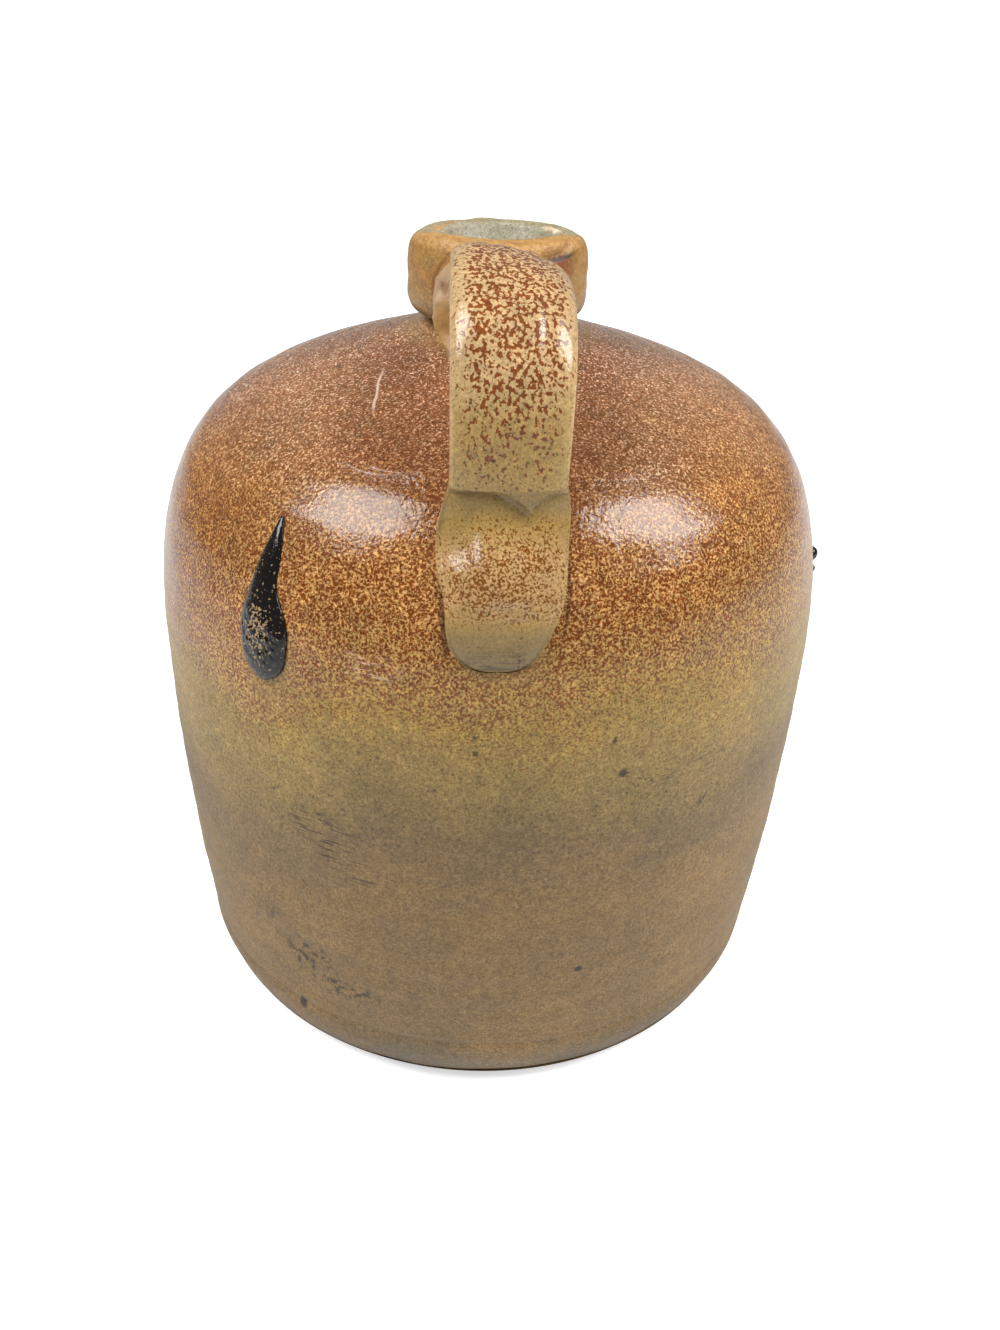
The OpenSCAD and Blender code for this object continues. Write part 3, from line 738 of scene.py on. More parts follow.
def build_root(s):
    """The wad of clay that is smeared from the collar down on to the dome, under and beside the
    strap: thin rings one under the other, each round the front from the left end to the right
    and back behind. Where the wad is, its face is a hollow slope from the collar's side to the
    dome. Away from it the face is drawn in under the skin of the collar, neck and dome, by a
    weight from 0 to 1."""
    turns = np.linspace(-66, 44, 190) * DEG
    v = np.linspace(0, 1, 90)
    dome = curve(s.dome_guides, np.linspace(0, 1, 400))[::-1]
    dome_z = np.interp([16.3, 20.5, 25, 31], dome[:, 0], dome[:, 1])
    dome_z[0] = s.neck_seat_height
    under, sunk, back = s.collar_bottom, 1.6, 0.8
    # Radii and heights of the bare skin and of the wad's face, at shares of the way down.
    knots = [0, 0.08, 0.3, 0.42, 0.5, 0.6, 0.7, 0.82, 1]
    bare_r, bare_z, full_r, full_z = (softened(np.interp(v, knots, places), 4) for places in (
        [21.6, 22.0, 22.0, 20.0, 16.2, 16.2, 20.5, 25, 31],
        [216.6, 214.2, under + 5, under + 1.7, under + 1.2, *(dome_z - sunk)],
        [21.6, 24.1, 25.1, 25.2, 25.4, 25.8, 26.6, 28.2, 31],
        [216.6, 214.2, 205.5, 202, 199.8, 197.8, 196.0, 194.0, dome_z[3] - sunk]))
    # Directions of the wad's two ends, and how softly the left one starts, in the same way.
    knots = [0, 0.07, 0.17, 0.33, 0.43, 0.55, 0.7, 0.82, 1]
    left = np.interp(v, knots, [-38, -42, -51, -53, -50.5, -47.5, -42, -34, -26]) * DEG
    right = np.interp(v, knots, [24, 29, 33, 37, 38, 37, 34, 31, 27]) * DEG
    ramp = np.interp(v, [0, 0.33, 0.45, 1], [14, 14, 8, 10]) * DEG
    turn = turns[:, None]
    weight = smooth(turn, left, left + ramp) * smooth(-turn, -right, -right + 12 * DEG)
    r = bare_r + (full_r - bare_r) * weight
    z = bare_z + (full_z - bare_z) * weight
    points = about_axis(r, turn, z)
    bumps = 0.35 * ripple(points, 6, 21) + 0.15 * ripple(points, 2.6, 22)
    dimple = 1.5 * hump(turn, -38 * DEG, 5 * DEG) * hump(z, 208, 2)
    r = r + (bumps - dimple) * weight
    face = about_axis(r, turn, z)
    behind = about_axis(bare_r - back, turn, bare_z - back)[::-1]
    return skin("handle_root_wad", np.concatenate([face, behind]).transpose(1, 0, 2))


def build_drip(s):
    """The long run of ash glass: a tear that lies on the shoulder and bends a little as it runs
    down. Its width is read along its length: a thin neck that swells to a bulb and closes round.
    A crust of small grains covers its middle."""
    top = s.widest_height + s.drip_top_share * s.dome_rise
    end = s.widest_height + s.drip_end_share * s.dome_rise
    u = np.linspace(0, 1, 130)
    t = 0.5 * u + 0.5 * np.sin(u * np.pi / 2)
    z = (top + (end - top) * t)[:, None]
    # How wide it is and how far it bends aside, in degrees, at shares of its length.
    shares = [0, 0.08, 0.156, 0.237, 0.325, 0.4, 0.477, 0.54, 0.6]
    swell = softened(np.interp(
        t, [*shares, 0.67, 0.73, 0.78],
        [0.07, 0.22, 0.34, 0.44, 0.5, 0.58, 0.76, 0.92, 1.03, 1.075, 1.05, 1]), 6)
    bend = softened(np.interp(
        t, [*shares, 0.7, 0.8, 0.92],
        [-1.3, -0.95, -0.8, -0.85, -1.05, -1.0, -0.6, -0.35, -0.15, 0, 0.2, 0.35]), 6)
    closes_at, end_length = 0.78, 0.22
    swell *= np.maximum(0, 1 - (np.maximum(0, t - closes_at) / end_length) ** 2) ** 0.6
    width = np.maximum(1.1 * s.drip_width * swell, 0.3)[:, None]
    depth = np.maximum(s.drip_depth * swell ** 0.8, 0.2)[:, None]
    sunk = 0.25
    r = body_radius_at(s, z) - sunk
    rise = np.arctan2(body_radius_at(s, z - 1) - body_radius_at(s, z + 1), 2)
    a = np.linspace(0, TURN, COLUMNS["drip"], endpoint=False)[None, :]
    side = width / 2 * np.cos(a)
    grain = np.stack([side, z + 0 * a, depth * np.sin(a)], -1)
    crust = (0.2 * ripple(grain, 1.9, 31) + 0.14 * ripple(grain, 1.0, 32)) * hump(
        t[:, None], 0.72, 0.15) * smooth(np.sin(a), 0.3, 0.9)
    out = depth * np.sin(a) + crust - 0.15
    turn = s.drip_direction + bend[:, None] * DEG + side / r
    rings = about_axis(r + out * np.cos(rise), turn, z + out * np.sin(rise))
    return skin("kiln_drip_long_glass", rings,
                attributes={"down": np.broadcast_to(t[:, None], side.shape),
                            "across": 2 * side / width})


def build_drops(s):
    """Two beads of ash glass one under the other: spheres drawn down a little and more than half
    sunk in the glaze."""
    height = s.widest_height + s.drop_share * s.dome_rise
    beads = []
    for z, radius in ((height, s.drop_radius), (height - 1.9 * s.drop_radius, s.drop_radius / 2)):
        lift = np.linspace(0.04, np.pi - 0.04, 32)[:, None]
        a = np.linspace(0, TURN, COLUMNS["drop"], endpoint=False)[None, :]
        sag = 1 + 0.12 * np.cos(lift)
        rings = 0.96 * radius * np.stack([
            np.sin(lift) * np.cos(a), np.sin(lift) * np.sin(a), -np.cos(lift) * sag + 0 * a], -1)
        rings += [0, 0.45 * radius + 0.1 - float(body_radius_at(s, z)), z]
        c, d = np.cos(s.drop_direction), np.sin(s.drop_direction)
        turned = np.stack([rings[..., 0] * c - rings[..., 1] * d,
                           rings[..., 0] * d + rings[..., 1] * c, rings[..., 2]], -1)
        beads.append(skin("kiln_drops_side_glass", turned))
    main, extra = beads
    with bpy.context.temp_override(active_object=main, selected_editable_objects=[main, extra]):
        bpy.ops.object.join()
    return main


# Materials. Sizes are in millimetres: object coordinates are scaled to millimetres first, and a
# noise's Scale is one over the size of its features.

def past(node, *steps):
    """A mask that is 1 where several values are past their steps: the product of smooth steps,
    each a value, where its step starts and ends and, where they aren't 0 and 1, its two levels."""
    return node("Math MULTIPLY", *(node("MapRange SMOOTHSTEP", *step) for step in steps))


def stained(node, shade, *stains):
    """A shade with stains laid over it in turn, each a mask, a strength and a colour."""
    for mask, strength, stain in stains:
        shade = node("Mix MIX", node("Math MULTIPLY", mask, strength), shade, stain)
    return shade


def clouded(node, shade, *layers):
    """A shade multiplied by layers of tint in turn, each a noise, two of its values and the tint
    at each of them."""
    for wave, low, high, dark, light in layers:
        tint = node("ValToRGB", wave, stops=[(low, dark), (high, light)])
        shade = node("Mix MULTIPLY", 1, shade, tint)
    return shade


def axis_reach(node, xyz):
    """How far a place is from the jug's axis: the root of x squared plus y squared."""
    return node("Math SQRT", node("Math MULTIPLY_ADD", xyz[0], xyz[0],
                                  node("Math MULTIPLY", xyz[1], xyz[1])))


def patch(node, xyz, turn, z, across, tall):
    """A soft oval window on the body: 1 at a direction (degrees from the handle) and height, and
    0 beyond its half width and half height in millimetres. Also the place along the window, from
    its middle to the right and up, in millimetres."""
    c, s = np.cos(turn * DEG), np.sin(turn * DEG)
    x = node("Math MULTIPLY_ADD", xyz[0], c, node("Math MULTIPLY", xyz[1], s))
    front = node("Math LESS_THAN",
                 node("Math MULTIPLY_ADD", xyz[0], -s, node("Math MULTIPLY", xyz[1], c)), 0)
    up = node("Math SUBTRACT", xyz[2], z)
    dx, dz = node("Math DIVIDE", x, across), node("Math DIVIDE", up, tall)
    far = node("Math MULTIPLY_ADD", dx, dx, node("Math MULTIPLY", dz, dz))
    inside = node("MapRange SMOOTHSTEP", far, 1, 0.15)
    return node("Math MULTIPLY", inside, front), x, up


def stroke(node, xyz, turn, z, across, tall, slant, bow, width):
    """A thin curved line inside a window: 1 within a width of a parabola through the window's
    middle, whose slant is the way it leans and whose bow is how much it bends."""
    window, x, up = patch(node, xyz, turn, z, across, tall)
    along, off = (up, x) if tall > across else (x, up)
    line = node("Math MULTIPLY_ADD", node("Math MULTIPLY", along, along), bow,
                node("Math MULTIPLY", along, slant))
    near = node("Math ABSOLUTE", node("Math SUBTRACT", off, line))
    return node("Math MULTIPLY", window, node("MapRange SMOOTHSTEP", near, width, width * 0.3))


def iron_specks(node, where, cell, size, keep):
    """Round specks on a jittered lattice: 1 inside a speck. cell is the lattice's spacing and
    size the largest speck's radius in millimetres, and keep the share of cells that have one."""
    at = {"Scale": 1 / cell}
    distance = node("TexVoronoi", where, at, out="Distance")
    chance = node("SeparateColor", node("TexVoronoi", where, at, out="Color"))
    radius = node("Math MULTIPLY", chance, size / cell / keep)
    spot = node("MapRange SMOOTHSTEP", node("Math SUBTRACT", distance, radius), 0.03, -0.03)
    return node("Math MULTIPLY", spot, node("Math LESS_THAN", chance, keep))


def salt_glazed_stoneware(c):
    """Stoneware clay, wheel-thrown and glazed by salt thrown into the kiln. The vapour reached the
    shoulder and dome, which are glossy, with iron that gathered into rust-brown cells between
    pale filaments; below it thins to satin ochre, a smoked grey band and nearly bare clay."""
    material, node, where, xyz = new_glaze("salt_glazed_stoneware")
    # The wander of the glaze's zones, iron cells about 1.2 mm apart and the grit on them, the
    # filaments, and the orange peel of the skin.
    cloud, cells, grit, veins, peel = (
        node("TexNoise", where, {"Scale": 1 / size, "Detail": detail, "Roughness": rough})
        for size, detail, rough in ((38, 3, 0.55), (0.66, 1, 0.5), (0.4, 1, 0.5), (1.15, 1, 0.4),
                                    (1.25, 2, 0.55)))
    # The zones wander up and down by some millimetres round the jug, and the shoulder's rust
    # comes lower on the left.
    low_left = node("MapRange SMOOTHSTEP", xyz[0], -20, -80, 15, 2)
    height = node("Math MULTIPLY_ADD", cloud, 30, node("Math SUBTRACT", xyz[2], low_left))
    # Heights as shares of 220 mm, which is about the jug's own.
    tall = node("Math DIVIDE", height, 220)
    ground = node("ValToRGB", tall, stops=[
        (0.02, c.foot_clay), (0.1, c.wall_clay), (0.33, c.wall_clay), (0.42, c.grey_band),
        (0.52, c.ochre), (0.585, c.tan), (0.73, c.cream), (0.78, c.cream), (0.87, c.dome_cream)])
    # The iron's share of the surface grows upwards. At mid height pale filaments lie where their
    # noise has its middle value.
    level = node("ValToRGB", tall, stops=[
        (0.36, 0.2), (0.47, 0.36), (0.55, 0.43), (0.63, 0.51), (0.7, 0.56), (0.8, 0.575),
        (0.88, 0.6)])
    tone = node("Math MULTIPLY_ADD", cells, 0.72, node("Math MULTIPLY", grit, 0.28))
    ridge = node("Math ABSOLUTE", node("Math SUBTRACT", veins, 0.5))
    net = past(node, (ridge, 0.045, 0.015), (height, 192, 160, 0.25, 0.8), (height, 132, 150))
    spots = past(node, (node("Math SUBTRACT", level, tone), -0.03, 0.04),
                 (height, 105, 145, 0.45, 1))
    iron = node("Math MULTIPLY", spots, node("Math SUBTRACT", 1, net), use_clamp=True)
    # Over the dome the brown also carries painted sheen.
    brown = node("Mix MIX", node("MapRange SMOOTHSTEP", height, 158, 186), c.rust, c.dome_brown_and_sheen)
    shade = node("Mix MIX", iron, ground, brown)
    # Painted shade darkens the dome in front, round and under the strap, and it is browner on the
    # far left. Hardly any iron came close under the collar.
    for oval, tint in (((-5, 181, 46, 17), (0.74, 0.64, 0.58)),
                       ((-66, 150, 36, 36), (0.88, 0.79, 0.55))):
        shade = node("Mix MULTIPLY", patch(node, xyz, *oval)[0], shade, tint)
    near_collar = node("MapRange SMOOTHSTEP", axis_reach(node, xyz), 29, 22)
    shade = stained(node, shade, (near_collar, 0.5, c.collar_pink))
    # Wide clouds of warmer and cooler tone, faint throwing bands, and a grain all over.
    for stretch, size, dark, light in (
            (1, 26, 0.86, (1.12, 1.08, 1.02)), (14, 3.6, 0.95, 1.05), (1, 4, 0.88, 1.1),
            (1, 1.7, (0.87, 0.87, 0.86), 1.12), (1, 0.95, (0.73, 0.72, 0.7), 1.24),
            (1, 0.5, (0.66, 0.65, 0.62), 1.35)):
        drawn = node("VectorMath MULTIPLY", where, (1 / stretch, 1 / stretch, 1))
        wave = node("TexNoise", drawn, {"Scale": 1 / size, "Detail": 3, "Roughness": 0.62})
        shade = clouded(node, shade, (wave, 0.32, 0.68, dark, light))
    # Iron specks: many fine ones in the smoked band, few larger pits anywhere.
    band = past(node, (height, 62, 88), (height, 132, 112))
    fine = node("Math MULTIPLY", iron_specks(node, where, 1.5, 0.5, 0.55), band)
    rare = iron_specks(node, where, 15, 0.9, 0.3)
    small = iron_specks(node, where, 5, 0.42, 0.4)
    shade = stained(node, shade, (fine, 0.5, c.speck), (rare, 0.8, c.speck),
                    (small, 0.45, c.speck))
    # Scuffs: level scratches and rubbed dirt in a few windows (direction, height, size), and dark
    # pits and spots, in the places of the real jug's.
    drawn = node("VectorMath MULTIPLY", where, (1 / 7, 1 / 7, 1 / 0.5))
    scratch = node("MapRange SMOOTHSTEP", node("TexNoise", drawn, {
        "Scale": 1 / 1.1, "Detail": 2, "Roughness": 0.6}), 0.55, 0.62)
    smudge = node("MapRange SMOOTHSTEP", node("TexNoise", where, {
        "Scale": 1 / 2.6, "Detail": 4, "Roughness": 0.72}), 0.5, 0.6)
    for mask, strength, *oval in (
            (scratch, 0.8, -28, 90, 13, 7), (scratch, 0.7, -26, 82, 10, 5),
            (scratch, 0.7, -21, 76.5, 8, 1.6), (smudge, 0.9, -33, 40, 11, 9),
            (smudge, 0.9, -26, 32, 14, 5.5), (smudge, 0.5, -42, 52, 7, 6),
            (smudge, 0.2, 4, 80, 22, 12), (1, 0.9, -37, 18, 1.8, 3.2),
            (1, 0.9, 14.3, 47.5, 1.6, 1.4), (1, 0.85, 18.2, 112, 1.5, 1.5),
            (smudge, 0.9, 16.6, 121.5, 1.1, 2.2), (smudge, 0.9, -5, 125.5, 3, 2),
            (1, 0.8, -4, 120.8, 0.9, 0.9), (smudge, 0.8, 34.4, 96, 3.5, 2.6),
            (scratch, 0.5, 30, 108, 16, 4), (smudge, 0.45, 34, 113, 18, 2.5)):
        worn_dark = node("Math MULTIPLY", patch(node, xyz, *oval)[0], mask)
        shade = stained(node, shade, (worn_dark, strength, c.speck))
    # Painted shade darkens the narrow gaps beside the pad. The glaze is thin and pale round the
    # long drip's end, pale scratches lie left of the pad's end, and one scratch curves down the
    # dome.
    painted_shade_left_of_pad = stroke(node, xyz, -9.2, 151.6, 4, 10, -0.13, 0.007, 1.3)
    painted_shade_right_of_pad = stroke(node, xyz, 9.2, 156.5, 3, 11, 0.12, -0.01, 0.6)
    rubbed = node("Math MULTIPLY", patch(node, xyz, -20, 139.5, 10, 4)[0], scratch)
    halo = node("Math MAXIMUM", patch(node, xyz, -37, 133, 11, 13)[0],
                patch(node, xyz, 0, 143, 13, 7)[0])
    long_scratch = stroke(node, xyz, -43.2, 186.6, 8, 5, -0.44, 0.004, 0.3)
    shade = stained(node, shade, (painted_shade_left_of_pad, 0.6, c.speck), (painted_shade_right_of_pad, 0.55, c.speck),
                    (rubbed, 0.45, c.dome_cream), (halo, 0.3, c.ochre),
                    (long_scratch, 0.75, c.dome_cream))
    rough = node("Math MULTIPLY_ADD", cells, 0.14,
                 node("MapRange SMOOTHSTEP", height, 168, 105, 0.08, 0.42))
    # The glaze's skin is like orange peel on the shoulder and finer on the wall. Beside the pad
    # it ran down in glassy streaks, and a few thin threads stand on the dome.
    deep = node("Math MULTIPLY", node("Math MULTIPLY_ADD", cells, 0.55, peel),
                node("MapRange SMOOTHSTEP", height, 95, 150, 0.35, 1.15))
    drawn = node("VectorMath MULTIPLY", where, (1, 1, 1 / 6))
    streak = node("TexNoise", drawn, {"Scale": 1 / 1.6, "Detail": 1})
    streaks = (node("Math MULTIPLY", patch(node, xyz, turn, 168, 6, 17)[0], streak, 2.2)
               for turn in (-16, 15))
    threads = (node("Math MULTIPLY", stroke(node, xyz, *line), 1.6) for line in (
        (-24.5, 176.8, 13, 2.6, 0.06, 0.012, 0.35), (-21, 177.6, 9, 2.6, 0.1, 0.016, 0.3),
        (38, 187.4, 9, 2, 0.1, 0.006, 0.2)))
    deep = node("Math ADD", deep, *streaks, *threads, node("Math MULTIPLY", long_scratch, 1.6),
                node("Math MULTIPLY", rare, -6))
    finish_glaze(node, shade, rough, deep, 0.085, 0.42)
    return material


def bare_stoneware(c):
    """Stoneware clay cut with a wire and fired without glaze: dry, gritty and a little rusty."""
    material, node, where, _ = new_glaze("bare_wire_cut_stoneware")
    tint = node("TexNoise", where, {"Scale": 1 / 18, "Detail": 4, "Roughness": 0.6})
    grit = node("TexNoise", where, {"Scale": 1 / 0.7, "Detail": 3, "Roughness": 0.7})
    shade = node("Mix MIX", node("MapRange SMOOTHSTEP", tint, 0.35, 0.65), c.foot_clay,
                 c.wall_clay)
    shade = clouded(node, shade, (grit, 0.3, 0.7, (0.72, 0.7, 0.68), 1.12))
    shade = stained(node, shade, (iron_specks(node, where, 7, 0.9, 0.4), 0.8, c.speck))
    finish_glaze(node, shade, 0.8, grit, 0.12, 0.4)
    return material


def collar_glaze(c):
    """Salt glaze on the rolled collar and lip: thin satin, orange tan on the side, pinkish below,
    and grey-green over the mouth and down the bore, where painted light keeps it pale. The lip's
    edge is rubbed orange, and a painted highlight lightens the rim's front edge."""
    material, node, where, xyz = new_glaze("salt_glazed_collar")
    x, y, z = xyz
    r = axis_reach(node, xyz)
    cloud, patches, mottle, grain = (
        node("TexNoise", where, {"Scale": 1 / size, "Detail": detail, "Roughness": rough})
        for size, detail, rough in ((8, 4, 0.62), (4.5, 3, 0.6), (3, 4, 0.68), (0.75, 3, 0.7)))
    wander = node("Math MULTIPLY_ADD", cloud, 12, node("Math SUBTRACT", z, 6))
    shade = node("Mix MIX", node("MapRange SMOOTHSTEP", wander, 201, 209), c.collar_pink,
                 c.collar_tan)
    # The flat of the rim is grey-green behind and orange tan on the handle's side, where a painted
    # highlight lightens its front edge. Its inner edge is rubbed on the left.
    inward = node("Math MULTIPLY_ADD", cloud, 4, node("Math SUBTRACT", r, 2))
    behind = node("MapRange SMOOTHSTEP", node("Math MULTIPLY_ADD", cloud, 18, y), 1, 9)
    flat = node("Math MULTIPLY", past(node, (inward, 22.4, 20.6), (z, 215.2, 216.8)), behind)
    # Painted highlight: the rim's front top edge is lightened to cream.
    edge = node("Math MULTIPLY", node("MapRange SMOOTHSTEP", z, 216.2, 217.4),
                node("Math SUBTRACT", 1, behind))
    rub = past(node, (r, 15.6, 16.1), (r, 18.6, 17), (patches, 0.36, 0.5), (x, -10, -13))
    # Pale lumps of ash are stuck to the lip on the right.
    apart = node("VectorMath DISTANCE", where, (14.7, 6.0, 217.6), out="Value")
    stuck = past(node, (apart, 5, 3), (r, 14.6, 15.2), (r, 17.4, 16.6), (patches, 0.4, 0.5))
    # Under the side's fold the brown is partly iron and partly painted shade, and a dark line in
    # the fold's crease is painted shade. A brown line runs along the wad's edge.
    under = node("Math MULTIPLY", patch(node, xyz, 38, 213, 6.5, 5)[0],
                 node("MapRange SMOOTHSTEP", patches, 0.35, 0.6, 0.45, 1))
    crease = stroke(node, xyz, 38, 215.4, 9, 2.6, 0.06, 0.012, 0.7)
    beside_wad = stroke(node, xyz, -41.7, 212.5, 8, 9, 0.6, 0.05, 1.0)
    # The pale grey-green down the bore is partly painted light, which keeps the shaded bore
    # bright.
    shade = stained(
        node, shade, (node("MapRange SMOOTHSTEP", cloud, 0.5, 0.64), 0.55, c.ochre),
        (flat, 1, c.rim_green), (edge, 0.5, c.cream), (rub, 0.9, c.collar_rub),
        (node("MapRange SMOOTHSTEP", r, 16.1, 15.5), 1, c.bore_grey), (stuck, 0.9, c.dome_cream),
        (under, 0.95, c.strap_brown), (crease, 0.8, c.speck), (beside_wad, 0.6, c.strap_brown))
    shade = clouded(node, shade, (grain, 0.3, 0.7, (0.72, 0.7, 0.68), 1.24),
                    (mottle, 0.36, 0.62, (0.82, 0.77, 0.72), (1.08, 1.08, 1.07)))
    # Painted shade darkens the collar's lower corner, and a few brown spots lie on its side.
    low = past(node, (z, 201.8, 199.8), (mottle, 0.68, 0.42))
    specks = iron_specks(node, where, 3.2, 0.42, 0.35)
    shade = stained(node, shade, (low, 0.62, c.speck), (specks, 0.7, c.speck))
    finish_glaze(node, shade, 0.38, node("Math MULTIPLY_ADD", mottle, 2.4, grain), 0.16, 0.45)
    return material


def strap_glaze(c):
    """Salt glaze on the pulled strap: glossy khaki with rust-brown blotches that are thick over
    the arch and fade to fine specks at the foot; the edges are rubbed to cream, with a painted
    sheen along them."""
    material, node, where, (_, _, z) = new_glaze("salt_glazed_strap")
    side = node("Math ABSOLUTE", node("Attribute", attribute_name="across", out="Fac"))
    # Blotches about 1.7 mm apart, drawn out a little down the strap; finer flecks roughen them.
    drawn = node("VectorMath MULTIPLY", where, (1.1, 1, 0.9))
    blotch = node("TexNoise", drawn, {"Scale": 1 / 1.02, "Detail": 1, "Roughness": 0.5})
    fleck = node("TexNoise", where, {"Scale": 1 / 0.5, "Detail": 1, "Roughness": 0.5})
    peel = node("TexNoise", where, {"Scale": 1 / 1.2, "Detail": 2})
    tone = node("Math MULTIPLY_ADD", blotch, 0.74, node("Math MULTIPLY", fleck, 0.26))
    # Height on the strap, from 0 at its foot to 1 at the top of its arch.
    tall = node("Math DIVIDE", node("Math SUBTRACT", z, 180), 44)
    level = node("ValToRGB", tall, stops=[
        (0.0, 0.41), (0.2, 0.43), (0.38, 0.455), (0.52, 0.485), (0.8, 0.505), (0.92, 0.51),
        (1.0, 0.53)])
    edge = node("MapRange SMOOTHSTEP", side, 0.62, 0.93, 0, 0.11)
    spot = node("MapRange SMOOTHSTEP", node("Math SUBTRACT", level, edge, tone), -0.02, 0.03)
    shade = node("Mix MIX", node("MapRange SMOOTHSTEP", z, 188, 208), c.olive, c.strap_cream)
    # The long edges are cream: rubbed thin, and partly a painted sheen.
    rim = node("MapRange SMOOTHSTEP", side, 0.92, 0.99)
    shade = stained(node, shade, (spot, 1, c.strap_brown), (rim, 0.5, c.strap_cream))
    for size, dark, light in ((10, (0.9, 0.91, 0.9), (1.1, 1.07, 1.0)),
                              (1.5, (0.86, 0.86, 0.85), (1.12, 1.12, 1.1)),
                              (0.6, (0.7, 0.7, 0.67), (1.26, 1.26, 1.24))):
        wave = node("TexNoise", where, {"Scale": 1 / size, "Detail": 3, "Roughness": 0.62})
        shade = clouded(node, shade, (wave, 0.32, 0.68, dark, light))
    fine = node("Math MULTIPLY", iron_specks(node, where, 1.5, 0.42, 0.55),
                node("MapRange SMOOTHSTEP", z, 206, 195, 0.2, 1))
    tiny = node("Math MULTIPLY", iron_specks(node, where, 0.95, 0.34, 0.5),
                node("MapRange SMOOTHSTEP", z, 210, 196, 0.3, 1))
    few = iron_specks(node, where, 3.2, 0.34, 0.3)
    shade = stained(node, shade, (fine, 0.6, c.speck), (tiny, 0.55, c.speck),
                    (few, 0.8, c.speck))
    finish_glaze(node, shade, 0.17, node("Math ADD", tone, peel), 0.08, 0.5)
    return material


def pad_glaze(c):
    """Salt glaze on the thumbed pad: olive at the flanks and under the crease, greyed there by
    painted shade, rust mottle on the belly, and a wiped, duller grey end."""
    material, node, where, _ = new_glaze("salt_glazed_pad")
    down = node("Attribute", attribute_name="down", out="Fac")
    side = node("Math ABSOLUTE", node("Attribute", attribute_name="across", out="Fac"))
    # Blotches about 1 mm apart and finer flecks, wide clouds, grain and orange peel.
    blotch, fleck, cloud, grain, peel = (
        node("TexNoise", where, {"Scale": 1 / size, "Detail": detail, "Roughness": rough})
        for size, detail, rough in ((0.58, 1, 0.5), (0.36, 1, 0.5), (7, 3, 0.6), (0.6, 3, 0.65),
                                    (1.3, 2, 0.5)))
    tone = node("Math MULTIPLY_ADD", blotch, 0.7, node("Math MULTIPLY", fleck, 0.3))
    level = node("ValToRGB", down, stops=[
        (0.0, 0.36), (0.12, 0.37), (0.26, 0.46), (0.4, 0.5), (0.62, 0.5), (0.7, 0.46),
        (0.78, 0.38)])
    level = node("Math MULTIPLY_ADD", node("Math SUBTRACT", cloud, 0.5), 0.22, level)
    flank = node("MapRange SMOOTHSTEP", side, 0.55, 0.95, 0, 0.05)
    spot = node("MapRange SMOOTHSTEP", node("Math SUBTRACT", level, flank, tone), -0.05, 0.06)
    shade = node("Mix MIX", past(node, (down, 0.2, 0.42), (down, 0.8, 0.62)), c.olive, c.pad_tan)
    # The end is wiped, and painted shade gives a little of the top, just under the crease, the
    # same grey.
    wander = node("Math MULTIPLY_ADD", cloud, 0.16, down)
    wiped = node("Math MAXIMUM", node("MapRange SMOOTHSTEP", wander, 0.78, 0.92, 0, 0.85),
                 node("MapRange SMOOTHSTEP", down, 0.22, 0.08, 0, 0.55))
    shade = stained(node, shade, (spot, 1, c.pad_rust), (wiped, 1, c.wiped_grey_and_shade))
    shade = clouded(node, shade, (cloud, 0.32, 0.68, (0.87, 0.88, 0.86), (1.1, 1.07, 1.0)),
                    (grain, 0.32, 0.68, (0.76, 0.76, 0.74), (1.2, 1.2, 1.18)))
    for strength, *specks in ((0.5, 1.6, 0.34, 0.4), (0.45, 0.95, 0.24, 0.4), (0.8, 4, 0.42, 0.3)):
        shade = stained(node, shade, (iron_specks(node, where, *specks), strength, c.speck))
    # Wiping left fine curved lines in the end and a smoky smear at its tip.
    drawn = node("VectorMath MULTIPLY", where, (1 / 6, 1, 1 / 0.7))
    wipe = node("TexNoise", drawn, {"Scale": 1 / 0.9, "Detail": 2})
    smear = past(node, (down, 0.8, 0.97), (wipe, 0.44, 0.62), (side, 0.75, 0.2))
    shade = stained(node, shade, (smear, 0.5, c.speck))
    lines = node("Math MULTIPLY", node("MapRange SMOOTHSTEP", down, 0.7, 0.82), wipe)
    rough = node("MapRange SMOOTHSTEP", down, 0.6, 0.85, 0.15, 0.45)
    finish_glaze(node, shade, rough, node("Math ADD", tone, peel, lines), 0.07, 0.5)
    return material


def wad_glaze(c):
    """Salt glaze on the smeared wad: greyish tan where fingers drew it out, orange in its
    hollows, with a few iron spots."""
    material, node, where, xyz = new_glaze("salt_glazed_wad")
    cloud = node("TexNoise", where, {"Scale": 1 / 4, "Detail": 4, "Roughness": 0.62})
    grain = node("TexNoise", where, {"Scale": 1 / 0.8, "Detail": 3, "Roughness": 0.7})
    shade = node("Mix MIX", node("MapRange SMOOTHSTEP", cloud, 0.46, 0.75), c.collar_pink,
                 c.collar_tan)
    shade = node("Mix MIX", 0.2, shade, c.dome_cream)
    shade = clouded(node, shade, (grain, 0.3, 0.7, (0.78, 0.76, 0.74), 1.14))
    # It is khaki low down and orange beside the strap, iron gathered in the dimple, and a brown
    # line runs along the collar.
    shade = stained(
        node, shade, (node("MapRange SMOOTHSTEP", xyz[2], 199, 194.5), 0.6, c.olive),
        (patch(node, xyz, -32, 200, 5.5, 7.5)[0], 0.85, c.collar_tan),
        (patch(node, xyz, -35.5, 208.6, 1.9, 2.2)[0], 0.5, c.strap_brown),
        (stroke(node, xyz, -41.7, 212.5, 8, 9, 0.6, 0.05, 1.0), 0.6, c.strap_brown),
        (iron_specks(node, where, 2.6, 0.4, 0.4), 0.7, c.speck))
    finish_glaze(node, shade, 0.38, node("Math MULTIPLY_ADD", cloud, 2, grain), 0.16, 0.45)
    return material


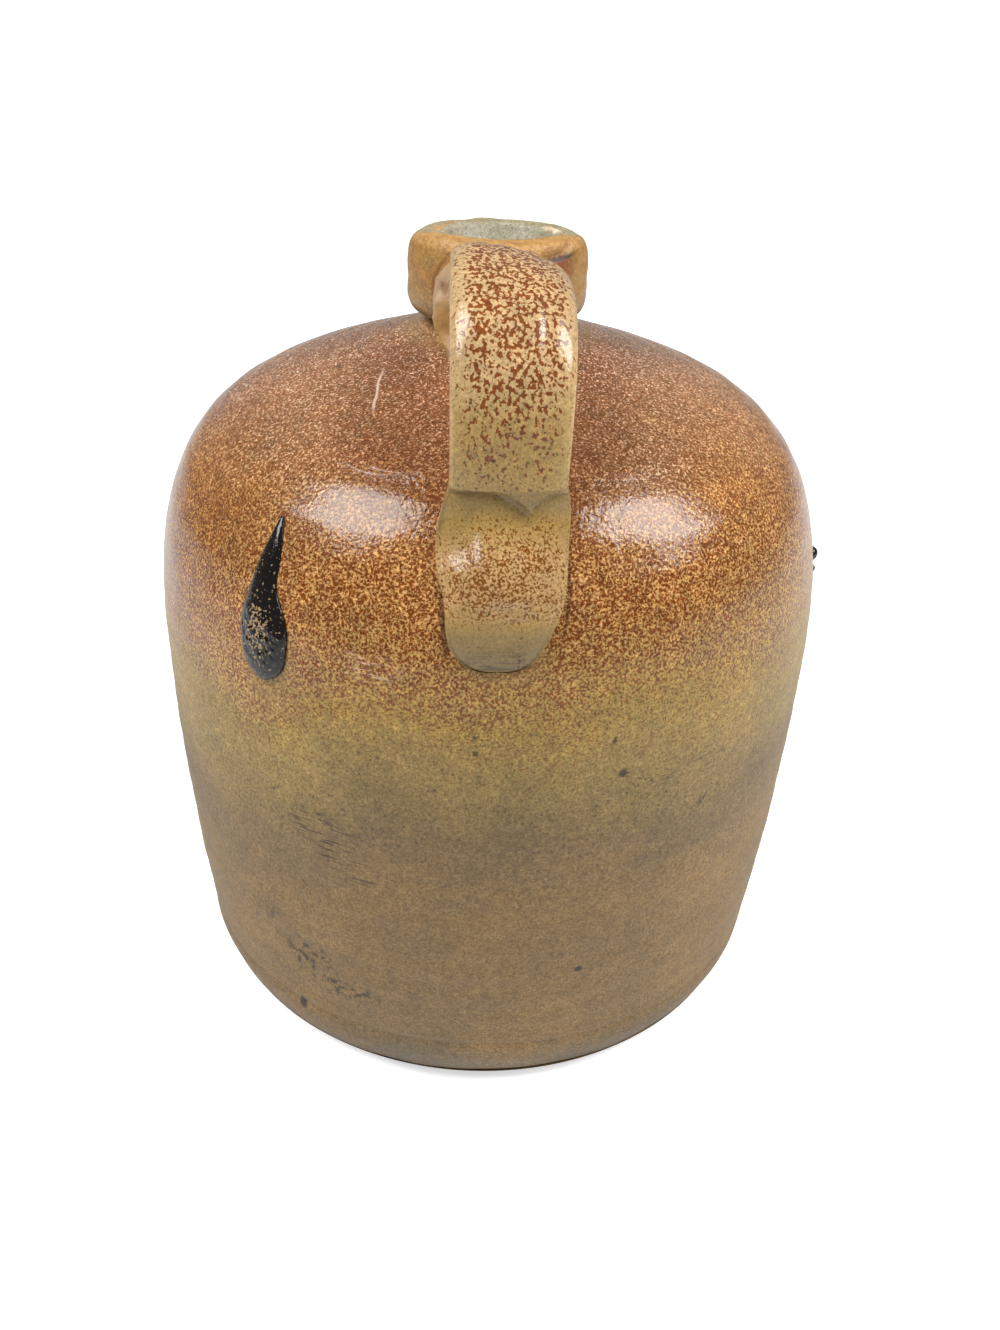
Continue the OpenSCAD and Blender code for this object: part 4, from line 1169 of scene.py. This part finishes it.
def ash_glass(c):
    """Wood-ash glass that dripped from the kiln's roof: black and wet-looking, with tan grains
    stuck in its middle and a blue-grey bloom at the thick end."""
    material, node, where, _ = new_glaze("black_ash_glass")
    down = node("Attribute", attribute_name="down", out="Fac")
    side = node("Math ABSOLUTE", node("Attribute", attribute_name="across", out="Fac"))
    grains = node("TexNoise", where, {"Scale": 1 / 0.75, "Detail": 2, "Roughness": 0.6})
    middle = past(node, (down, 0.42, 0.62), (down, 0.88, 0.74), (side, 0.7, 0.15))
    few = node("MapRange SMOOTHSTEP", down, 0.1, 0.3, 0, 0.015)
    level = node("Math MULTIPLY_ADD", middle, 0.13, node("Math ADD", few, -0.655))
    crust = node("MapRange SMOOTHSTEP", node("Math ADD", grains, level), -0.015, 0.04)
    bloom = node("MapRange SMOOTHSTEP", down, 0.8, 1, 0, 0.25)
    shade = node("Mix MIX", bloom, c.ash_black, c.ash_bloom)
    shade = stained(node, shade, (crust, 0.85, c.ash_grain))
    finish_glaze(node, shade, node("Math MULTIPLY_ADD", crust, 0.4, 0.08), grains, 0.09, 0.5)
    return material


def slip_glaze(c):
    """Brown slip poured round the inside: an even satin skin, streaked downwards."""
    material, node, where, _ = new_glaze("poured_brown_slip")
    drawn = node("VectorMath MULTIPLY", where, (1, 1, 1 / 7))
    streak = node("TexNoise", drawn, {"Scale": 1 / 5, "Detail": 3, "Roughness": 0.6})
    shade = node("Mix MIX", node("MapRange SMOOTHSTEP", streak, 0.35, 0.65), c.slip_brown,
                 c.slip_dark)
    finish_glaze(node, shade, 0.32, streak, 0.2, 0.5)
    return material


@cache
def material_of(maker):
    """The material that a maker function builds, built once."""
    return maker(bpy.context.scene.jug_colours)


# Stage

def seen_directly(node):
    """1 for rays from the camera, from a mirror-like surface or through a clear one."""
    camera, glossy, clear = (node("LightPath", out=name) for name in (
        "Is Camera Ray", "Is Glossy Ray", "Is Transmission Ray"))
    return node("Math MAXIMUM", camera, node("Math MAXIMUM", glossy, clear))


def floor_material():
    """A matt white floor. Camera rays get extra white, more of it further out, so that it reads as
    the plain white ground of the photograph but keeps the jug's soft shadow. Glossy and clear rays
    get as much as brings the lit floor to white."""
    material, node = new_material("white_paper_floor")
    diffuse = node("BsdfDiffuse", {"Color": linear("#f4f6f8")})
    reach = node("VectorMath LENGTH", node("TexCoord", out="Object"), out="Value")
    extra = node("MapRange SMOOTHSTEP", reach, 0.12, 1.2, 0.6, 1)
    extra = node("MapRange", node("LightPath", out="Is Camera Ray"), 0, 1, 0.1, extra)
    glow = node("Math MULTIPLY", seen_directly(node), extra)
    emission = node("Emission", {"Color": linear("#fbfdff"), "Strength": glow})
    node("OutputMaterial", {"Surface": node("AddShader", diffuse, emission)})
    return material


def placed(data, right, up, back, place):
    """An object for a lamp or camera, whose own x, y and z axes are given, at a place in
    metres."""
    thing = bpy.data.objects.new(data.name, data)
    thing.matrix_world = Matrix(np.block([
        [np.stack([right, up, back], -1), place[:, None]],
        [np.zeros((1, 3)), np.ones((1, 1))]]).tolist())
    bpy.context.scene.collection.objects.link(thing)
    return thing


def build_stage(settings):
    """The floor disc, the white surroundings, two soft lamps and the camera."""
    scene = bpy.context.scene
    scene.view_settings.view_transform = "Standard"
    line = profile(np.linspace(1, settings.floor_radius / MM, 8), 0)
    top = revolve(line, 96)[1]
    floor = skin("stage_floor", np.concatenate([top, top[::-1] - [0, 0, 2]]))
    floor.data.materials.append(floor_material())

    world = bpy.data.worlds.new("white_surroundings")
    scene.world = world
    world.use_nodes = True
    world.node_tree.nodes.clear()
    node = partial(add, world.node_tree)
    # The camera sees white all round. In the glaze the white is as dim as in the photograph.
    white = node("MapRange", node("LightPath", out="Is Camera Ray"), 0, 1, 0.27, 1)
    strength = node("MapRange", seen_directly(node), 0, 1, settings.sky, white)
    node("OutputWorld", {"Surface": node("Background", (1, 1, 1), strength)})

    # Each lamp's direction from the handle, its height in degrees, and its size in metres. Both
    # point at the middle of the jug.
    middle = [0, 0, 0.15]
    for name, turn, lift, wide, high in (("left", -72, 51.5, 0.6, 0.66),
                                         ("right", 74, 43.5, 0.5, 0.74)):
        light = bpy.data.lights.new("soft_lamp_" + name, "AREA")
        light.shape, light.size, light.size_y = "RECTANGLE", wide, high
        light.energy = settings.lamp_power
        turn, lift = turn * DEG, lift * DEG
        toward = about_axis(np.cos(lift), turn, np.sin(lift))
        side = np.array([np.cos(turn), np.sin(turn), 0])
        placed(light, side, np.cross(toward, side), toward,
               toward * settings.lamp_distance + middle)

    # The camera was fitted to the jug's outline in the photograph: 31 degrees down, a little to
    # the left of the handle and rolled by 2 degrees.
    yaw, pitch, roll = 3.563 * DEG, 30.92 * DEG, 2.023 * DEG
    ahead = np.array([np.sin(yaw) * np.cos(pitch), np.cos(yaw) * np.cos(pitch), -np.sin(pitch)])
    level = np.array([np.cos(yaw), -np.sin(yaw), 0])
    steep = np.cross(level, ahead)
    lens = bpy.data.cameras.new("photograph_camera")
    lens.sensor_fit, lens.sensor_height = "VERTICAL", FRAME_HEIGHT
    lens.lens = FRAME_HEIGHT * FOCAL_LENGTH / PHOTO_HEIGHT
    lens.clip_start, lens.clip_end = 0.01, 20
    scene.camera = placed(lens, np.cos(roll) * level + np.sin(roll) * steep,
                          np.cos(roll) * steep - np.sin(roll) * level, -ahead,
                          np.array([-15.65, -320.0, 280.9]) * MM)


# Operators

class JugPiece:
    """What the piece operators share: an undo step, and how a piece is made and handed in."""

    bl_options = {"REGISTER", "UNDO"}

    def hand_in(self, build, glaze, node):
        """Builds a piece, gives it its glaze and its body, and hides the CAD node that it stands
        for.
        It stops the script if the piece came out empty."""
        piece = build(sizes_mm())
        if not len(piece.data.polygons):
            raise RuntimeError(f"{self.bl_label} made no mesh")
        piece.data.materials.append(material_of(glaze))
        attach(piece, "root")
        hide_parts(node)
        return {"FINISHED"}


class JUG_OT_stage(bpy.types.Operator):
    """Add the floor, the surroundings, the lamps and the camera"""

    bl_idname = "jug.stage"
    bl_label = "Stage"

    def execute(self, context):
        build_stage(context.scene.jug_stage)
        return {"FINISHED"}


class JUG_OT_floor(JugPiece, bpy.types.Operator):
    """Add the wire-cut floor of bare clay"""

    bl_idname = "jug.floor"
    bl_label = "Floor slab"

    def execute(self, context):
        return self.hand_in(build_floor, bare_stoneware, "floor_slab")


class JUG_OT_lower_wall(JugPiece, bpy.types.Operator):
    """Add the thrown lower wall"""

    bl_idname = "jug.lower_wall"
    bl_label = "Lower wall"

    def execute(self, context):
        return self.hand_in(build_lower_wall, salt_glazed_stoneware, "lower_wall")


class JUG_OT_shoulder_dome(JugPiece, bpy.types.Operator):
    """Add the domed shoulder"""

    bl_idname = "jug.shoulder_dome"
    bl_label = "Shoulder dome"

    def execute(self, context):
        return self.hand_in(build_shoulder_dome, salt_glazed_stoneware, "shoulder_dome")


class JUG_OT_neck(JugPiece, bpy.types.Operator):
    """Add the neck with its lip and bore"""

    bl_idname = "jug.neck"
    bl_label = "Neck"

    def execute(self, context):
        return self.hand_in(build_neck, collar_glaze, "neck")


class JUG_OT_collar(JugPiece, bpy.types.Operator):
    """Add the rolled collar"""

    bl_idname = "jug.collar"
    bl_label = "Collar"

    def execute(self, context):
        return self.hand_in(build_collar, collar_glaze, "collar")


class JUG_OT_handle_root(JugPiece, bpy.types.Operator):
    """Add the smeared wad under the strap's root"""

    bl_idname = "jug.handle_root"
    bl_label = "Handle root"

    def execute(self, context):
        return self.hand_in(build_root, wad_glaze, "handle_root")


class JUG_OT_handle_strap(JugPiece, bpy.types.Operator):
    """Add the pulled strap of the handle"""

    bl_idname = "jug.handle_strap"
    bl_label = "Handle strap"

    def execute(self, context):
        return self.hand_in(build_strap, strap_glaze, "handle_strap")


class JUG_OT_handle_terminal(JugPiece, bpy.types.Operator):
    """Add the thumbed pad at the strap's lower end"""

    bl_idname = "jug.handle_terminal"
    bl_label = "Handle terminal"

    def execute(self, context):
        return self.hand_in(build_terminal, pad_glaze, "handle_terminal")


class JUG_OT_kiln_drips(JugPiece, bpy.types.Operator):
    """Add the long drip and the two side drops of ash glass"""

    bl_idname = "jug.kiln_drips"
    bl_label = "Kiln drips"

    def execute(self, context):
        self.hand_in(build_drip, ash_glass, "kiln_drip_long")
        return self.hand_in(build_drops, ash_glass, "kiln_drops_side")


class JUG_OT_slip_lining(bpy.types.Operator):
    """Give the slip lining its glaze; its CAD shape stays"""

    bl_idname = "jug.slip_lining"
    bl_label = "Slip lining"
    bl_options = {"REGISTER", "UNDO"}

    def execute(self, context):
        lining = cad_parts["slip_lining"]
        lining.data.materials.clear()
        lining.data.materials.append(material_of(slip_glaze))
        return {"FINISHED"}


OPERATORS = (JUG_OT_stage, JUG_OT_floor, JUG_OT_lower_wall, JUG_OT_shoulder_dome, JUG_OT_neck,
             JUG_OT_collar, JUG_OT_handle_root, JUG_OT_handle_strap, JUG_OT_handle_terminal,
             JUG_OT_kiln_drips, JUG_OT_slip_lining)


class JUG_PT_panel(bpy.types.Panel):
    """The jug's operators and properties, in the 3D view's sidebar"""

    bl_idname = "JUG_PT_panel"
    bl_label = "Stoneware jug"
    bl_space_type = "VIEW_3D"
    bl_region_type = "UI"
    bl_category = "Stoneware"

    def draw(self, context):
        for operator in OPERATORS:
            self.layout.operator(operator.bl_idname)
        for group in (context.scene.jug_sizes, context.scene.jug_colours,
                      context.scene.jug_stage):
            box = self.layout.box()
            for key, item in group.bl_rna.properties.items():
                if item.type == "FLOAT":
                    box.prop(group, key)


GROUPS = {"jug_sizes": JugSizes, "jug_colours": JugColours, "jug_stage": JugStage}


def register():
    """Registers the property groups, the operators and the panel."""
    for key, group in GROUPS.items():
        bpy.utils.register_class(group)
        setattr(bpy.types.Scene, key, bpy.props.PointerProperty(type=group))
    for part in (*OPERATORS, JUG_PT_panel):
        bpy.utils.register_class(part)


def unregister():
    """Takes them away again."""
    for part in (JUG_PT_panel, *reversed(OPERATORS)):
        bpy.utils.unregister_class(part)
    for key, group in reversed(GROUPS.items()):
        delattr(bpy.types.Scene, key)
        bpy.utils.unregister_class(group)


def main():
    """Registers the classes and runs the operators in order."""
    register()
    for operator in OPERATORS:
        group, call = operator.bl_idname.split(".")
        getattr(getattr(bpy.ops, group), call)()
    bpy.context.view_layer.update()


if __name__ == "__main__":
    main()
